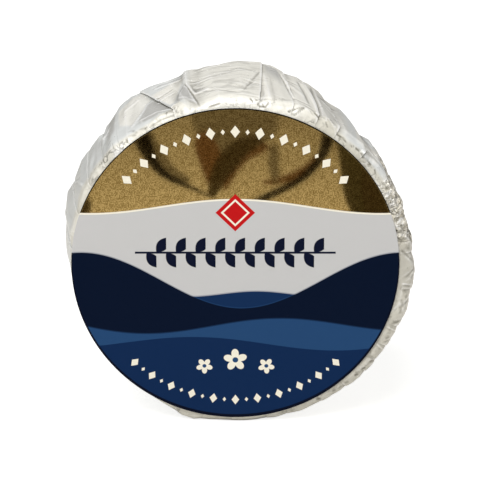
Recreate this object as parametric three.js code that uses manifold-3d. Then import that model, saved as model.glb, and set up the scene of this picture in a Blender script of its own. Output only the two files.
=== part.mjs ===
// A small round soft cheese in its folded white wrapper, with a round label on the front.
// The wheel stands on its rim: the label faces -Y, the wheel's axis runs along Y and +Z is up.
// Lengths are millimetres. Angles are degrees round the wheel, from +X up towards +Z.
import * as THREE from 'three';
import { mergeVertices } from 'three/addons/utils/BufferGeometryUtils.js';
import Module from 'manifold-3d';

const wasm = await Module();
wasm.setup();

// The wheel
const THICKNESS = 37.7;
const FRONT_Y = -THICKNESS / 2;
const BACK_Y = THICKNESS / 2;
const FRONT_SHOULDER = 3.2;
const BACK_SHOULDER = 5.5;
const FRONT_RIM_Y = -16;
const BACK_RIM_Y = 14;
const FRONT_RADIUS = 47.2;
const BACK_RADIUS = 46.7;
const BARREL = 0.4;
const BACK_DOME = 0.6;

// The hand-wrapped wheel isn't quite round. Each entry is waves per turn, height, and crest angle.
const FRONT_WAVES = [[1, 0.6, -23], [2, 0.36, -68], [4, 0.24, -21]];
const BACK_WAVES = [[1, 1.5, -168], [2, 0.6, -48], [3, 0.5, -35], [4, 0.65, -1]];
// Lumps and hollows pressed in by hand. Each entry is its angle, its height, and its breadth.
const FRONT_LUMPS = [[-107, 1.4, 6], [-150, -0.8, 22]];
const BACK_LUMPS = [
  [21, -1.2, 7],
  [31, 0.6, 5],
  [43, -1, 3],
  [54, -0.7, 7],
  [83, 1, 6],
  [101, -0.7, 6],
  [115, -0.9, 5],
  [126, 1, 5],
  [145, -0.6, 3],
  [170, 0.6, 4],
];

// The pleats of the wrapper run across the side. Each entry is the fold's angle at the back rim,
// its angle at the front rim, and how far the sheet steps up at it.
const FOLDS = [
  [-31, -31, 0.35],
  [-22, -23, 0.35],
  [-8, -9, 0.45],
  [5, 4, 0.3],
  [18, 17, 0.3],
  [33, 31, 0.3],
  [44.5, 43, 0.8],
  [59, 55, 0.35],
  [68, 63, 0.4],
  [75, 72, 0.35],
  [83, 82, 0.55],
  [109, 106, 0.5],
  [127, 115, 0.6],
  [135, 133, 0.35],
  [145, 142, 0.5],
  [153, 151, 0.55],
  [165, 162, 0.4],
  [177, 175, 0.4],
];
// Below the label and behind, the same pleats go on at an even spacing.
const LOWER_FOLDS = 14;
const LOWER_FOLD_STEP = 0.35;
const LOWER_FOLD_SWAY = 1.6;
// A pleat bulges between its folds by this share of its width.
const PILLOW = 0.055;
const WIDEST_PILLOW = 16;

// A flattened spot on the rim keeps the wheel from rolling.
const FOOT_DEPTH = 47.3;

// The label
const LABEL_RADIUS = 45;
const LABEL_THICKNESS = 0.3;
const LABEL_GAP = 0.3;
const LABEL_OFFSET_X = -1;

// Mesh steps
const STEPS_ROUND = 192;
const SIDE_STEPS = 7;
const SHOULDER_STEPS = 3;
const FACE_RINGS = [0.93, 0.75, 0.4];
const LABEL_STEPS = 144;
const CUTTER_SIZE = 200;

const radians = THREE.MathUtils.degToRad;

function allFolds() {
  const folds = [...FOLDS];
  const start = FOLDS[FOLDS.length - 1][0];
  const span = FOLDS[0][0] + 360 - start;
  for (let i = 1; i <= LOWER_FOLDS; i++) {
    const angle = start + (span * i) / (LOWER_FOLDS + 1);
    const sway = LOWER_FOLD_SWAY * Math.sin(i * 2.4);
    folds.push([angle + sway, angle - sway, LOWER_FOLD_STEP]);
  }
  return folds;
}

const folds = allFolds();

// Sum of a few waves round the wheel.
function waviness(waves, angle) {
  let sum = 0;
  for (const [count, height, crest] of waves) sum += height * Math.cos(radians(count * (angle - crest)));
  return sum;
}

// Sum of round lumps, each a bell curve over the angle.
function lumpiness(lumps, angle) {
  let sum = 0;
  for (const [place, height, breadth] of lumps) {
    const away = THREE.MathUtils.euclideanModulo(angle - place + 180, 360) - 180;
    sum += height * Math.exp(-((away / breadth) ** 2));
  }
  return sum;
}

// Height of the pleats: each one bulges between its folds and dips under the next at its end.
function pleatHeight(angle, across) {
  const position = (fold) => THREE.MathUtils.lerp(fold[1], fold[0], across);
  const start = position(folds[0]);
  const turned = start + THREE.MathUtils.euclideanModulo(angle - start, 360);
  let index = folds.length - 1;
  while (position(folds[index]) > turned) index -= 1;
  const from = position(folds[index]);
  const to = index + 1 < folds.length ? position(folds[index + 1]) : start + 360;
  const share = (turned - from) / (to - from);
  const width = Math.min(radians(to - from) * FRONT_RADIUS, WIDEST_PILLOW);
  const step = folds[index][2];
  return PILLOW * width * 4 * share * (1 - share) + step * (0.5 - share);
}

// Radius of the wrapped side at an angle and a depth.
function sideRadius(angle, y, relief) {
  const across = THREE.MathUtils.clamp((y - FRONT_RIM_Y) / (BACK_RIM_Y - FRONT_RIM_Y), 0, 1);
  const front = FRONT_RADIUS + waviness(FRONT_WAVES, angle) + lumpiness(FRONT_LUMPS, angle);
  const back = BACK_RADIUS + waviness(BACK_WAVES, angle) + lumpiness(BACK_LUMPS, angle);
  const barrel = BARREL * 4 * across * (1 - across);
  return THREE.MathUtils.lerp(front, back, across) + barrel + relief * pleatHeight(angle, across);
}

// The profile from the front face over the side to the back face: a list of functions of the angle.
function profileRows() {
  const rows = [];
  const addFaceRing = (share, y, shoulder) => {
    rows.push((angle) => [share * (sideRadius(angle, y, 0) - shoulder), y]);
  };
  const addShoulderRing = (turn, y, shoulder, direction) => {
    const out = Math.sin(turn);
    const depth = y + direction * shoulder * (1 - Math.cos(turn));
    rows.push((angle) => [sideRadius(angle, depth, out) - shoulder * (1 - out), depth]);
  };
  for (const share of [...FACE_RINGS].reverse()) addFaceRing(share, FRONT_Y, FRONT_SHOULDER);
  for (let i = 0; i <= SHOULDER_STEPS; i++) {
    addShoulderRing((Math.PI / 2) * (i / SHOULDER_STEPS), FRONT_Y, FRONT_SHOULDER, 1);
  }
  const sideStart = FRONT_Y + FRONT_SHOULDER;
  const sideEnd = BACK_Y - BACK_SHOULDER;
  for (let i = 1; i < SIDE_STEPS; i++) {
    const depth = THREE.MathUtils.lerp(sideStart, sideEnd, i / SIDE_STEPS);
    rows.push((angle) => [sideRadius(angle, depth, 1), depth]);
  }
  for (let i = SHOULDER_STEPS; i >= 0; i--) {
    addShoulderRing((Math.PI / 2) * (i / SHOULDER_STEPS), BACK_Y, BACK_SHOULDER, -1);
  }
  for (const share of FACE_RINGS) addFaceRing(share, BACK_Y + BACK_DOME * (1 - share), BACK_SHOULDER);
  return rows;
}

// Closed mesh of the wheel: rings of points, with a pole at the middle of each face.
function wheelGeometry() {
  const rows = profileRows();
  const points = [0, FRONT_Y, 0];
  for (const row of rows) {
    for (let i = 0; i < STEPS_ROUND; i++) {
      const angle = (360 * i) / STEPS_ROUND;
      const [radius, y] = row(angle);
      points.push(radius * Math.cos(radians(angle)), y, radius * Math.sin(radians(angle)));
    }
  }
  points.push(0, BACK_Y + BACK_DOME, 0);
  const index = [];
  const at = (row, i) => 1 + row * STEPS_ROUND + (i % STEPS_ROUND);
  const lastPole = 1 + rows.length * STEPS_ROUND;
  for (let i = 0; i < STEPS_ROUND; i++) {
    index.push(0, at(0, i), at(0, i + 1));
    for (let row = 0; row + 1 < rows.length; row++) {
      index.push(at(row, i), at(row + 1, i), at(row, i + 1));
      index.push(at(row, i + 1), at(row + 1, i), at(row + 1, i + 1));
    }
    index.push(lastPole, at(rows.length - 1, i + 1), at(rows.length - 1, i));
  }
  const geometry = new THREE.BufferGeometry();
  geometry.setAttribute('position', new THREE.Float32BufferAttribute(points, 3));
  geometry.setIndex(index);
  return geometry;
}

// A closed mesh as a solid for cutting.
function toSolid(geometry) {
  const bare = geometry.clone();
  bare.deleteAttribute('normal');
  bare.deleteAttribute('uv');
  const merged = mergeVertices(bare, 1e-5);
  return new wasm.Manifold(new wasm.Mesh({
    numProp: 3,
    vertProperties: new Float32Array(merged.attributes.position.array),
    triVerts: new Uint32Array(merged.index.array),
  }));
}

function toGeometry(solid) {
  const mesh = solid.getMesh();
  const geometry = new THREE.BufferGeometry();
  geometry.setAttribute('position', new THREE.Float32BufferAttribute(mesh.vertProperties, 3));
  geometry.setIndex(Array.from(mesh.triVerts));
  return geometry;
}

function wrappedCheese() {
  const cutter = new THREE.BoxGeometry(CUTTER_SIZE, CUTTER_SIZE, CUTTER_SIZE);
  cutter.translate(0, 0, -FOOT_DEPTH - CUTTER_SIZE / 2);
  const geometry = toGeometry(toSolid(wheelGeometry()).subtract(toSolid(cutter)));
  const paper = new THREE.MeshStandardMaterial({ color: 0xdcdbd6, roughness: 0.45, metalness: 0.1 });
  const mesh = new THREE.Mesh(geometry, paper);
  mesh.name = 'wrapper';
  return mesh;
}

function labelDisc() {
  const geometry = new THREE.CylinderGeometry(LABEL_RADIUS, LABEL_RADIUS, LABEL_THICKNESS, LABEL_STEPS);
  const print = new THREE.MeshStandardMaterial({ color: 0x1b2c52, roughness: 0.35, metalness: 0.2 });
  const mesh = new THREE.Mesh(geometry, print);
  mesh.position.set(LABEL_OFFSET_X, FRONT_Y - LABEL_GAP - LABEL_THICKNESS / 2, 0);
  mesh.name = 'label';
  return mesh;
}

// The whole stands on its flattened spot, with its box centred over the origin.
const cheese = new THREE.Group();
cheese.add(wrappedCheese(), labelDisc());
cheese.updateMatrixWorld(true);
const box = new THREE.Box3().setFromObject(cheese, true);
cheese.position.set(-(box.min.x + box.max.x) / 2, -(box.min.y + box.max.y) / 2, -box.min.z);

export default cheese;
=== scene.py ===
# %% [markdown]
# # A small soft cheese in its wrapper
# This notebook dresses a small round cheese that stands on its rim. The real one is a wheel about
# as wide as a hand, folded into a sheet of white coated foil, with a round printed label stuck on
# the front. Two pieces show: the wrapper and the label. First the fixed model is loaded, and its
# box is kept.

# %% Load the fixed model
import math

import bpy
import numpy as np
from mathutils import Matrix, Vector


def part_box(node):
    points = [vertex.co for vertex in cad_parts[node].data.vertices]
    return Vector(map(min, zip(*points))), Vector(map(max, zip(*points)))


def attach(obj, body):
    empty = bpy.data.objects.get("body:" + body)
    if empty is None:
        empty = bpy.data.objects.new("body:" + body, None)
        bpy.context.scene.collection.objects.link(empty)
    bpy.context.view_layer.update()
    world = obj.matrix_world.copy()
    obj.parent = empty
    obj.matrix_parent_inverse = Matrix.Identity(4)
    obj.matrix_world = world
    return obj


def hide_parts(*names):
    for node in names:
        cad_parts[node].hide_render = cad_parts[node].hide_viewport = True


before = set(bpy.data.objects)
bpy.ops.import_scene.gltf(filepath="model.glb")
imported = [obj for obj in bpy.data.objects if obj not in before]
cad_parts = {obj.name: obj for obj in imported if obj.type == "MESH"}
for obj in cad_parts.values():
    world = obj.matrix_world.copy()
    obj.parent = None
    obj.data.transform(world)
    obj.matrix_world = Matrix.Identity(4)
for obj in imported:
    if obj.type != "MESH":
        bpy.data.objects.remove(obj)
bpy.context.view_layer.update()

MM = 0.001
label_low, label_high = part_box("label")
label_centre = (np.array(label_low) + np.array(label_high)) / 2 / MM
LABEL_RADIUS = (label_high.x - label_low.x) / 2 / MM
print("label centre, mm:", label_centre.round(2), "radius:", round(LABEL_RADIUS, 2))

# %% [markdown]
# ## The camera
# The photograph was taken from a little above with a long lens, so the round label shows as an
# ellipse that is hardly narrower than it is wide. Its height over its width gives the camera's
# elevation, and its width in pixels gives the lens. The camera could be placed by eye, but worked
# out this way the label lands on the same pixels as in the photograph.

# %% Camera from the label's ellipse
IMAGE_SIZE = 480
LABEL_HALF_WIDTH_PX = 164.1
LABEL_CENTRE_PX = (235.3, 265.0)
ELEVATION = math.radians(20.3)
DISTANCE = 0.76
SENSOR_MM = 36.0


def place_camera():
    """Camera at DISTANCE from the label's centre, looking along +Y and down by ELEVATION, moved
    sideways and up by (pixel - middle) * distance / focal length."""
    focal_px = LABEL_HALF_WIDTH_PX / (LABEL_RADIUS * MM) * DISTANCE
    forward = np.array([0, math.cos(ELEVATION), -math.sin(ELEVATION)])
    right = np.array([1.0, 0, 0])
    up = np.cross(right, forward)
    aside = (LABEL_CENTRE_PX[0] - IMAGE_SIZE / 2) / focal_px * DISTANCE
    below = (LABEL_CENTRE_PX[1] - IMAGE_SIZE / 2) / focal_px * DISTANCE
    place = label_centre * MM - forward * DISTANCE - right * aside + up * below
    data = bpy.data.cameras.new("camera")
    data.sensor_width = SENSOR_MM
    data.lens = focal_px * SENSOR_MM / IMAGE_SIZE
    camera = bpy.data.objects.new("camera", data)
    camera.location = place
    camera.rotation_euler = (math.pi / 2 - ELEVATION, 0, 0)
    bpy.context.scene.collection.objects.link(camera)
    bpy.context.scene.camera = camera
    return camera


camera = place_camera()
print("camera at", [round(v, 3) for v in camera.location], "lens", round(camera.data.lens, 1), "mm")

# %% [markdown]
# ## The shape of the wheel
# A hand-wrapped wheel isn't a true cylinder. Its radius is a mean plus a few slow waves and lumps
# round the rim, different at the front and the back, and the wrapper's pleats lie across it like
# shingles. These are the solid's own formulas and nearly its values, so the fine surface lies
# where the solid does: only two folds are turned, by up to three degrees, to where the photograph
# has them, and a few step up less. Here the formulas work on whole arrays of angles and depths.

# %% Values of the wheel, in millimetres and degrees
THICKNESS = 37.7
FRONT_Y = -THICKNESS / 2
BACK_Y = THICKNESS / 2
# How far the solid label's middle is to the side of the axis, and in front of the front face.
LABEL_ASIDE = -1.0
LABEL_IN_FRONT = 0.45
LABEL_FROM_AXIS = np.array([LABEL_ASIDE, FRONT_Y - LABEL_IN_FRONT, 0.0])
wheel_centre = label_centre - LABEL_FROM_AXIS
FRONT_SHOULDER = 3.2
BACK_SHOULDER = 5.5
FRONT_RIM_Y = -16
BACK_RIM_Y = 14
FRONT_RADIUS = 47.2
BACK_RADIUS = 46.7
BARREL = 0.4
BACK_DOME = 0.6
FOOT_DEPTH = 47.3
# Waves per turn, height, crest angle.
FRONT_WAVES = [(1, 0.6, -23), (2, 0.36, -68), (4, 0.24, -21)]
BACK_WAVES = [(1, 1.5, -168), (2, 0.6, -48), (3, 0.5, -35), (4, 0.65, -1)]
# Angle, height, breadth.
FRONT_LUMPS = [(-107, 1.4, 6), (-150, -0.8, 22)]
BACK_LUMPS = [
    (21, -1.2, 7), (31, 0.6, 5), (43, -1, 3), (54, -0.7, 7), (83, 1, 6),
    (101, -0.7, 6), (115, -0.9, 5), (126, 1, 5), (145, -0.6, 3), (170, 0.6, 4),
]
# Angle at the back rim, angle at the front rim, step of the sheet.
FOLDS = [
    (-31, -31, 0.35), (-22, -23, 0.35), (-8, -9, 0.45), (5, 4, 0.3), (18, 17, 0.3),
    (33, 31, 0.3), (44.5, 43, 0.8), (59, 55, 0.35), (68, 63, 0.4), (75, 72, 0.35),
    (82.5, 83.2, 0.55), (109, 106, 0.5), (125.4, 112, 0.5), (135, 133, 0.15), (145, 142, 0.25),
    (153, 151, 0.3), (165, 162, 0.2), (177, 175, 0.4),
]
LOWER_FOLDS = 14
LOWER_FOLD_STEP = 0.35
LOWER_FOLD_SWAY = 1.6
LOWER_FOLD_SWAY_STEP = 2.4
PILLOW = 0.055
WIDEST_PILLOW = 16


def all_folds():
    """The folds by angle, with the ones below and behind spaced evenly and swayed by
    LOWER_FOLD_SWAY * sin(LOWER_FOLD_SWAY_STEP * number)."""
    start = FOLDS[-1][0]
    span = FOLDS[0][0] + 360 - start
    number = np.arange(1, LOWER_FOLDS + 1)
    angle = start + span * number / (LOWER_FOLDS + 1)
    sway = LOWER_FOLD_SWAY * np.sin(number * LOWER_FOLD_SWAY_STEP)
    lower = np.stack([angle + sway, angle - sway, np.full(LOWER_FOLDS, LOWER_FOLD_STEP)], -1)
    return np.concatenate([np.array(FOLDS, float), lower])


folds = all_folds()
print(len(folds), "pleats round the wheel")

# %% Radius of the side


def from_to(start, end, share):
    """start + (end - start) * share."""
    return start + (end - start) * share


def angle_away(angle, place):
    """Signed degrees from place to angle, the short way round."""
    return (angle - place + 180) % 360 - 180


def waviness(waves, angle):
    """Sum of height * cos(count * (angle - crest))."""
    return sum(height * np.cos(np.radians(count * (angle - crest))) for count, height, crest in waves)


def window(x, low, high, soft):
    """1 between low and high, fading to 0 over soft on each side."""
    both = np.clip((x - low) / soft + 0.5, 0, 1) * np.clip((high - x) / soft + 0.5, 0, 1)
    return both * both * (3 - 2 * both)


def lumpiness(lumps, angle):
    """Sum of height * exp(-((angle - place) / breadth) ** 2)."""
    return sum(h * np.exp(-((angle_away(angle, place) / b) ** 2)) for place, h, b in lumps)


def round_radius(angle, depth):
    """Radius without pleats: from_to(front radius, back radius, across) + barrel."""
    across = np.clip((depth - FRONT_RIM_Y) / (BACK_RIM_Y - FRONT_RIM_Y), 0, 1)
    front = FRONT_RADIUS + waviness(FRONT_WAVES, angle) + lumpiness(FRONT_LUMPS, angle)
    back = BACK_RADIUS + waviness(BACK_WAVES, angle) + lumpiness(BACK_LUMPS, angle)
    return from_to(front, back, across) + BARREL * 4 * across * (1 - across)


print("radius at the top:", round(float(round_radius(np.array(90.0), np.array(0.0))), 2), "mm")

# %% [markdown]
# ## The grid over the wheel
# The surface is a grid. One direction goes round the wheel, and the other runs from the middle of
# the front face over the front shoulder, across the side and over the back shoulder to the middle
# of the back. A second coordinate along this profile, in millimetres, is what the folds are drawn
# in: it is the depth on the side, and goes on round both shoulders as the paper does. Rows lie
# close together where folds show and far apart under the label.

# %% Rows of the profile
FRONT_SHOULDER_ROWS = 13
BACK_SHOULDER_ROWS = 9
SIDE_ROWS = 60
FRONT_RINGS = [0.4, 0.85, 0.93, 0.955, 0.98]
BACK_RINGS = np.linspace(0.98, 0.06, 17)


def row(share, drop, depth, turn, direction, paper):
    """One row: share of the radius, shoulder drop, depth, how much of the pleats shows, the part of
    the normal along the axis, and the place along the paper."""
    return share, drop, depth, math.sin(turn), direction * math.cos(turn), paper


def profile_rows():
    """Rings of the front face, a quarter circle, the straight side, a quarter circle and rings of
    the back face. On a quarter circle, drop = radius * (1 - sin) and depth moves by 1 - cos."""
    quarter = math.pi / 2
    side_start, side_end = FRONT_Y + FRONT_SHOULDER, BACK_Y - BACK_SHOULDER
    paper_front = side_start - FRONT_SHOULDER * quarter
    paper_back = side_end + BACK_SHOULDER * quarter
    rows = []
    for share in FRONT_RINGS:
        paper = paper_front - (1 - share) * (FRONT_RADIUS - FRONT_SHOULDER)
        rows.append(row(share, FRONT_SHOULDER, FRONT_Y, 0, -1, paper))
    for t in np.linspace(0, quarter, FRONT_SHOULDER_ROWS + 1):
        drop, depth = FRONT_SHOULDER * (1 - math.sin(t)), FRONT_Y + FRONT_SHOULDER * (1 - math.cos(t))
        rows.append(row(1, drop, depth, t, -1, paper_front + FRONT_SHOULDER * t))
    for depth in np.linspace(side_start, side_end, SIDE_ROWS + 1)[1:-1]:
        rows.append(row(1, 0, depth, quarter, 1, depth))
    for t in np.linspace(quarter, 0, BACK_SHOULDER_ROWS + 1):
        drop, depth = BACK_SHOULDER * (1 - math.sin(t)), BACK_Y - BACK_SHOULDER * (1 - math.cos(t))
        rows.append(row(1, drop, depth, t, 1, side_end + BACK_SHOULDER * (quarter - t)))
    for share in BACK_RINGS:
        depth = BACK_Y + BACK_DOME * (1 - share)
        paper = paper_back + (1 - share) * (BACK_RADIUS - BACK_SHOULDER)
        rows.append(row(share, BACK_SHOULDER, depth, 0, 1, paper))
    return np.array(rows)


rows = profile_rows()
share_row, drop_row, depth_row, out_row, along_row, paper_row = [rows[:, i, None] for i in range(6)]
across_row = np.clip((depth_row - FRONT_RIM_Y) / (BACK_RIM_Y - FRONT_RIM_Y), 0, 1)
on_back_row = np.clip((paper_row - BACK_Y) / BACK_SHOULDER, 0, 1)
print(len(rows), "rows from the front to the back")

# %% [markdown]
# The columns follow the folds. Each pleat has a column on both of its edges and on two ridges in
# between, so that every long crease runs along mesh edges and stays straight and sharp, however it
# slants. The first and the last column of a pleat lie a little past the fold, so each pleat really
# laps over its neighbour and casts a thin shadow, as folded foil does.

# %% Columns of the pleats
# Width of a column where the photograph shows the wheel and where it doesn't, in millimetres.
FINE_COLUMN = 0.27
COARSE_COLUMN = 0.75
SEEN_FROM, SEEN_TO = -70, 185
SECTIONS = 3
# Numbers of the folds that lap over the other way.
FACING_LEFT = [11, 12]

fold_ends = np.concatenate([folds[1:, :2], folds[:1, :2] + 360])
fold_widths = np.radians(fold_ends - folds[:, :2]).mean(1) * FRONT_RADIUS
fold_steps = folds[:, 2].copy()
fold_steps[FACING_LEFT] *= -1


def fold_columns():
    """Pleat number and place from 0 to 1 on it, for every column, closer together in view."""
    pleats, places = [], []
    for number, (width, middle) in enumerate(zip(fold_widths, (folds[:, :2] + fold_ends).mean(1) / 2)):
        turned = angle_away(middle, (SEEN_FROM + SEEN_TO) / 2)
        seen = abs(turned) < (SEEN_TO - SEEN_FROM) / 2
        count = SECTIONS * max(2, round(width / (FINE_COLUMN if seen else COARSE_COLUMN) / SECTIONS)) + 1
        pleats.append(np.full(count, number))
        places.append(np.linspace(0, 1, count))
    return np.concatenate(pleats), np.concatenate(places)


pleat, place = fold_columns()
section = np.minimum((place * SECTIONS).astype(int), SECTIONS - 1)
within = place * SECTIONS - section
print(len(pleat), "columns on", len(folds), "pleats")

# %% Flat facets between the creases
# Where on a pleat its two ridges may lie, as shares of its width, and how much they rise or sink.
FIRST_RIDGE = (0.14, 0.46)
SECOND_RIDGE = (0.54, 0.86)
RIDGE_WOBBLE = 0.22
# Pleats are pressed flatter where the wheel stands: by this share, round this angle.
PRESSED = 0.6
PRESSED_MIDDLE, PRESSED_HALF, PRESSED_SOFT = -95, 36, 20


def ridge_tables():
    """Knots of each pleat, at the front and at the back: their share of the width and their
    offset. A knot's place is a random share, and the fold's two edges are 0 and 1."""
    rng = np.random.default_rng(7)
    count = len(folds)
    shares = np.zeros((2, count, SECTIONS + 1))
    shares[..., 1] = rng.uniform(*FIRST_RIDGE, (2, count))
    shares[..., 2] = rng.uniform(*SECOND_RIDGE, (2, count))
    shares[..., 3] = 1
    offsets = np.zeros_like(shares)
    offsets[..., 1:3] = rng.uniform(-RIDGE_WOBBLE, RIDGE_WOBBLE, (2, count, 2))
    return shares, offsets


def knot(number):
    """Angle and radius, for every row and column, of the knot before (0) or after (1) it. Height is
    PILLOW * width * 4 * share * (1 - share) + step * (0.5 - share) + offset, less near the foot."""
    which = pleat, section + number
    share = from_to(knot_shares[0][which], knot_shares[1][which], across_row)
    offset = from_to(knot_offsets[0][which], knot_offsets[1][which], across_row)
    start = from_to(folds[pleat, 1], folds[pleat, 0], across_row)
    end = from_to(fold_ends[pleat, 1], fold_ends[pleat, 0], across_row)
    pillow = PILLOW * np.minimum(fold_widths[pleat], WIDEST_PILLOW) * 4 * share * (1 - share)
    angle = from_to(start, end, share)
    from_middle = angle_away(angle, PRESSED_MIDDLE)
    pressed = 1 - PRESSED * window(from_middle, -PRESSED_HALF, PRESSED_HALF, PRESSED_SOFT)
    height = pressed * (pillow + fold_steps[pleat] * (0.5 - share) + offset)
    return angle, round_radius(angle, depth_row) + height, height


knot_shares, knot_offsets = ridge_tables()
angle_before, radius_before, height_before = knot(0)
angle_after, radius_after, height_after = knot(1)
angle_grid = from_to(angle_before, angle_after, within)
pleat_heights = from_to(height_before, height_after, within)
paper_grid = paper_row + 0 * angle_grid


def chord_radius():
    """Radius of the straight line between two knots: r1 * r2 * sin(whole angle) over
    r1 * sin(angle from the first) + r2 * sin(angle to the second)."""
    whole = np.radians(angle_after - angle_before)
    past = np.radians(angle_grid - angle_before)
    below = radius_before * np.sin(past) + radius_after * np.sin(whole - past)
    return radius_before * radius_after * np.sin(whole) / below


faceted = chord_radius()
print("facets stand", round(float(pleat_heights.max()), 2), "mm proud at most")

# %% Laps of the pleats
# How far the first column of a pleat goes past the fold, in millimetres, and how far it does where
# the foil was pressed flat. The last column goes a share of that the other way.
LAP = 0.16
SOFT_LAP = 0.03
LAST_COLUMN_SHARE = 0.6
LAP_ON_BACK = 0.7
LEAST_LAP = 0.1


def lapped_angles():
    """The angles, with each pleat's first and last column moved past the fold by the lap. It is
    small on the left side, and there is none at the front of the top, where the sheet is flat."""
    shift = np.where(place == 0, -1.0, np.where(place == 1, LAST_COLUMN_SHARE, 0.0))
    left_side = window(angle_away(angle_grid, 150), -34, 36, 8)
    top_front = window(angle_away(angle_grid, 90), -18, 10, 6) * window(paper_grid, -40, -12.5, 3)
    lap = from_to(LAP, SOFT_LAP, left_side) * (1 - top_front)
    shown = np.maximum(np.maximum(out_row, LAP_ON_BACK * on_back_row), LEAST_LAP)
    return angle_grid + shift * (np.degrees(lap / FRONT_RADIUS) * shown)


turned = np.radians(np.abs(lapped_angles() - angle_grid)) * FRONT_RADIUS
print("pleats lap over by", round(float(turned.max()), 2), "mm at most")

# %% [markdown]
# ## The folds that a hand makes
# Coated foil keeps every crease. Besides the pleats there are three kinds: a layer of foil that
# lies on top of the rest, a crease that stands up or sinks in like a pinched line, and crumpling
# into small flat facets. Cloth simulation gives round folds, which is wrong for foil, so each kind
# is a formula with straight slopes and sharp corners, laid where the photograph has it.

# %% Helpers for folds: noise and facets
LATTICE_ROWS = 97
LATTICE_START = 60


def lattice_noise(cells_round, cell_mm, seed):
    """Smooth noise from -1 to 1: random values on a lattice, closed round the wheel, blended
    between its points by 3t^2 - 2t^3."""
    table = np.random.default_rng(seed).uniform(-1, 1, (cells_round, LATTICE_ROWS))
    u, v = angle_grid % 360 / 360 * cells_round, (paper_grid + LATTICE_START) / cell_mm
    i, j = np.floor(u).astype(int), np.floor(v).astype(int)
    s, t = (3 - 2 * (u - i)) * (u - i) ** 2, (3 - 2 * (v - j)) * (v - j) ** 2
    i, j, i2, j2 = i % cells_round, j % LATTICE_ROWS, (i + 1) % cells_round, (j + 1) % LATTICE_ROWS
    return from_to(from_to(table[i, j], table[i2, j], s), from_to(table[i, j2], table[i2, j2], s), t)


def facets(cells_round, cell_mm, seed, slant=0.0, bend=0.7):
    """Flat triangles from -1 to 1: random heights on a slanted, bent lattice, with each cell split
    by one of its two diagonals and filled by two planes."""
    rng = np.random.default_rng(seed)
    table = rng.uniform(-1, 1, (cells_round, LATTICE_ROWS))
    split = rng.random((cells_round, LATTICE_ROWS)) < 0.5
    v = (paper_grid + LATTICE_START) / cell_mm
    u = angle_grid % 360 / 360 * cells_round + slant * v
    u = u + bend * lattice_noise(max(3, cells_round // 3), cell_mm * 2.5, seed + 100)
    v = v + bend * lattice_noise(max(3, cells_round // 2), cell_mm * 3.5, seed + 200)
    i, j = np.floor(u).astype(int), np.floor(v).astype(int)
    s, t = u - i, v - j
    i, j, i2, j2 = i % cells_round, j % LATTICE_ROWS, (i + 1) % cells_round, (j + 1) % LATTICE_ROWS
    a, b, c, d = table[i, j], table[i2, j], table[i, j2], table[i2, j2]
    one = np.where(s + t < 1, a + s * (b - a) + t * (c - a), d + (1 - s) * (c - d) + (1 - t) * (b - d))
    other = np.where(s > t, a + s * (b - a) + t * (d - b), a + t * (c - a) + s * (d - c))
    return np.where(split[i, j], one, other)


sample = facets(34, 11, 31)
print("facets lie between", round(float(sample.min()), 2), "and", round(float(sample.max()), 2))

# %% Helpers for folds: zigzag, zones and lines


def zigzag(x):
    """Wave of period 1 from -1 to 1 with straight slopes and sharp turns: 4 * |x - nearest whole
    number| - 1."""
    return 4 * np.abs(x - np.floor(x + 0.5)) - 1


def around(low, high, soft):
    """window() over the angle, closed round the wheel."""
    return window(angle_away(angle_grid, (low + high) / 2), (low - high) / 2, (high - low) / 2, soft)


def line_axes(angle0, paper0, angle1, paper1):
    """For each point: millimetres to the right of the line between two points of the paper, and
    the place along the line from 0 to 1."""
    dx = math.radians(angle_away(angle1, angle0)) * FRONT_RADIUS
    dy = paper1 - paper0
    x = np.radians(angle_away(angle_grid, angle0)) * FRONT_RADIUS
    y = paper_grid - paper0
    return (x * dy - y * dx) / math.hypot(dx, dy), (x * dx + y * dy) / (dx * dx + dy * dy)


print("zigzag at 0, 0.25 and 0.5:", zigzag(np.array([0, 0.25, 0.5])))
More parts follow.
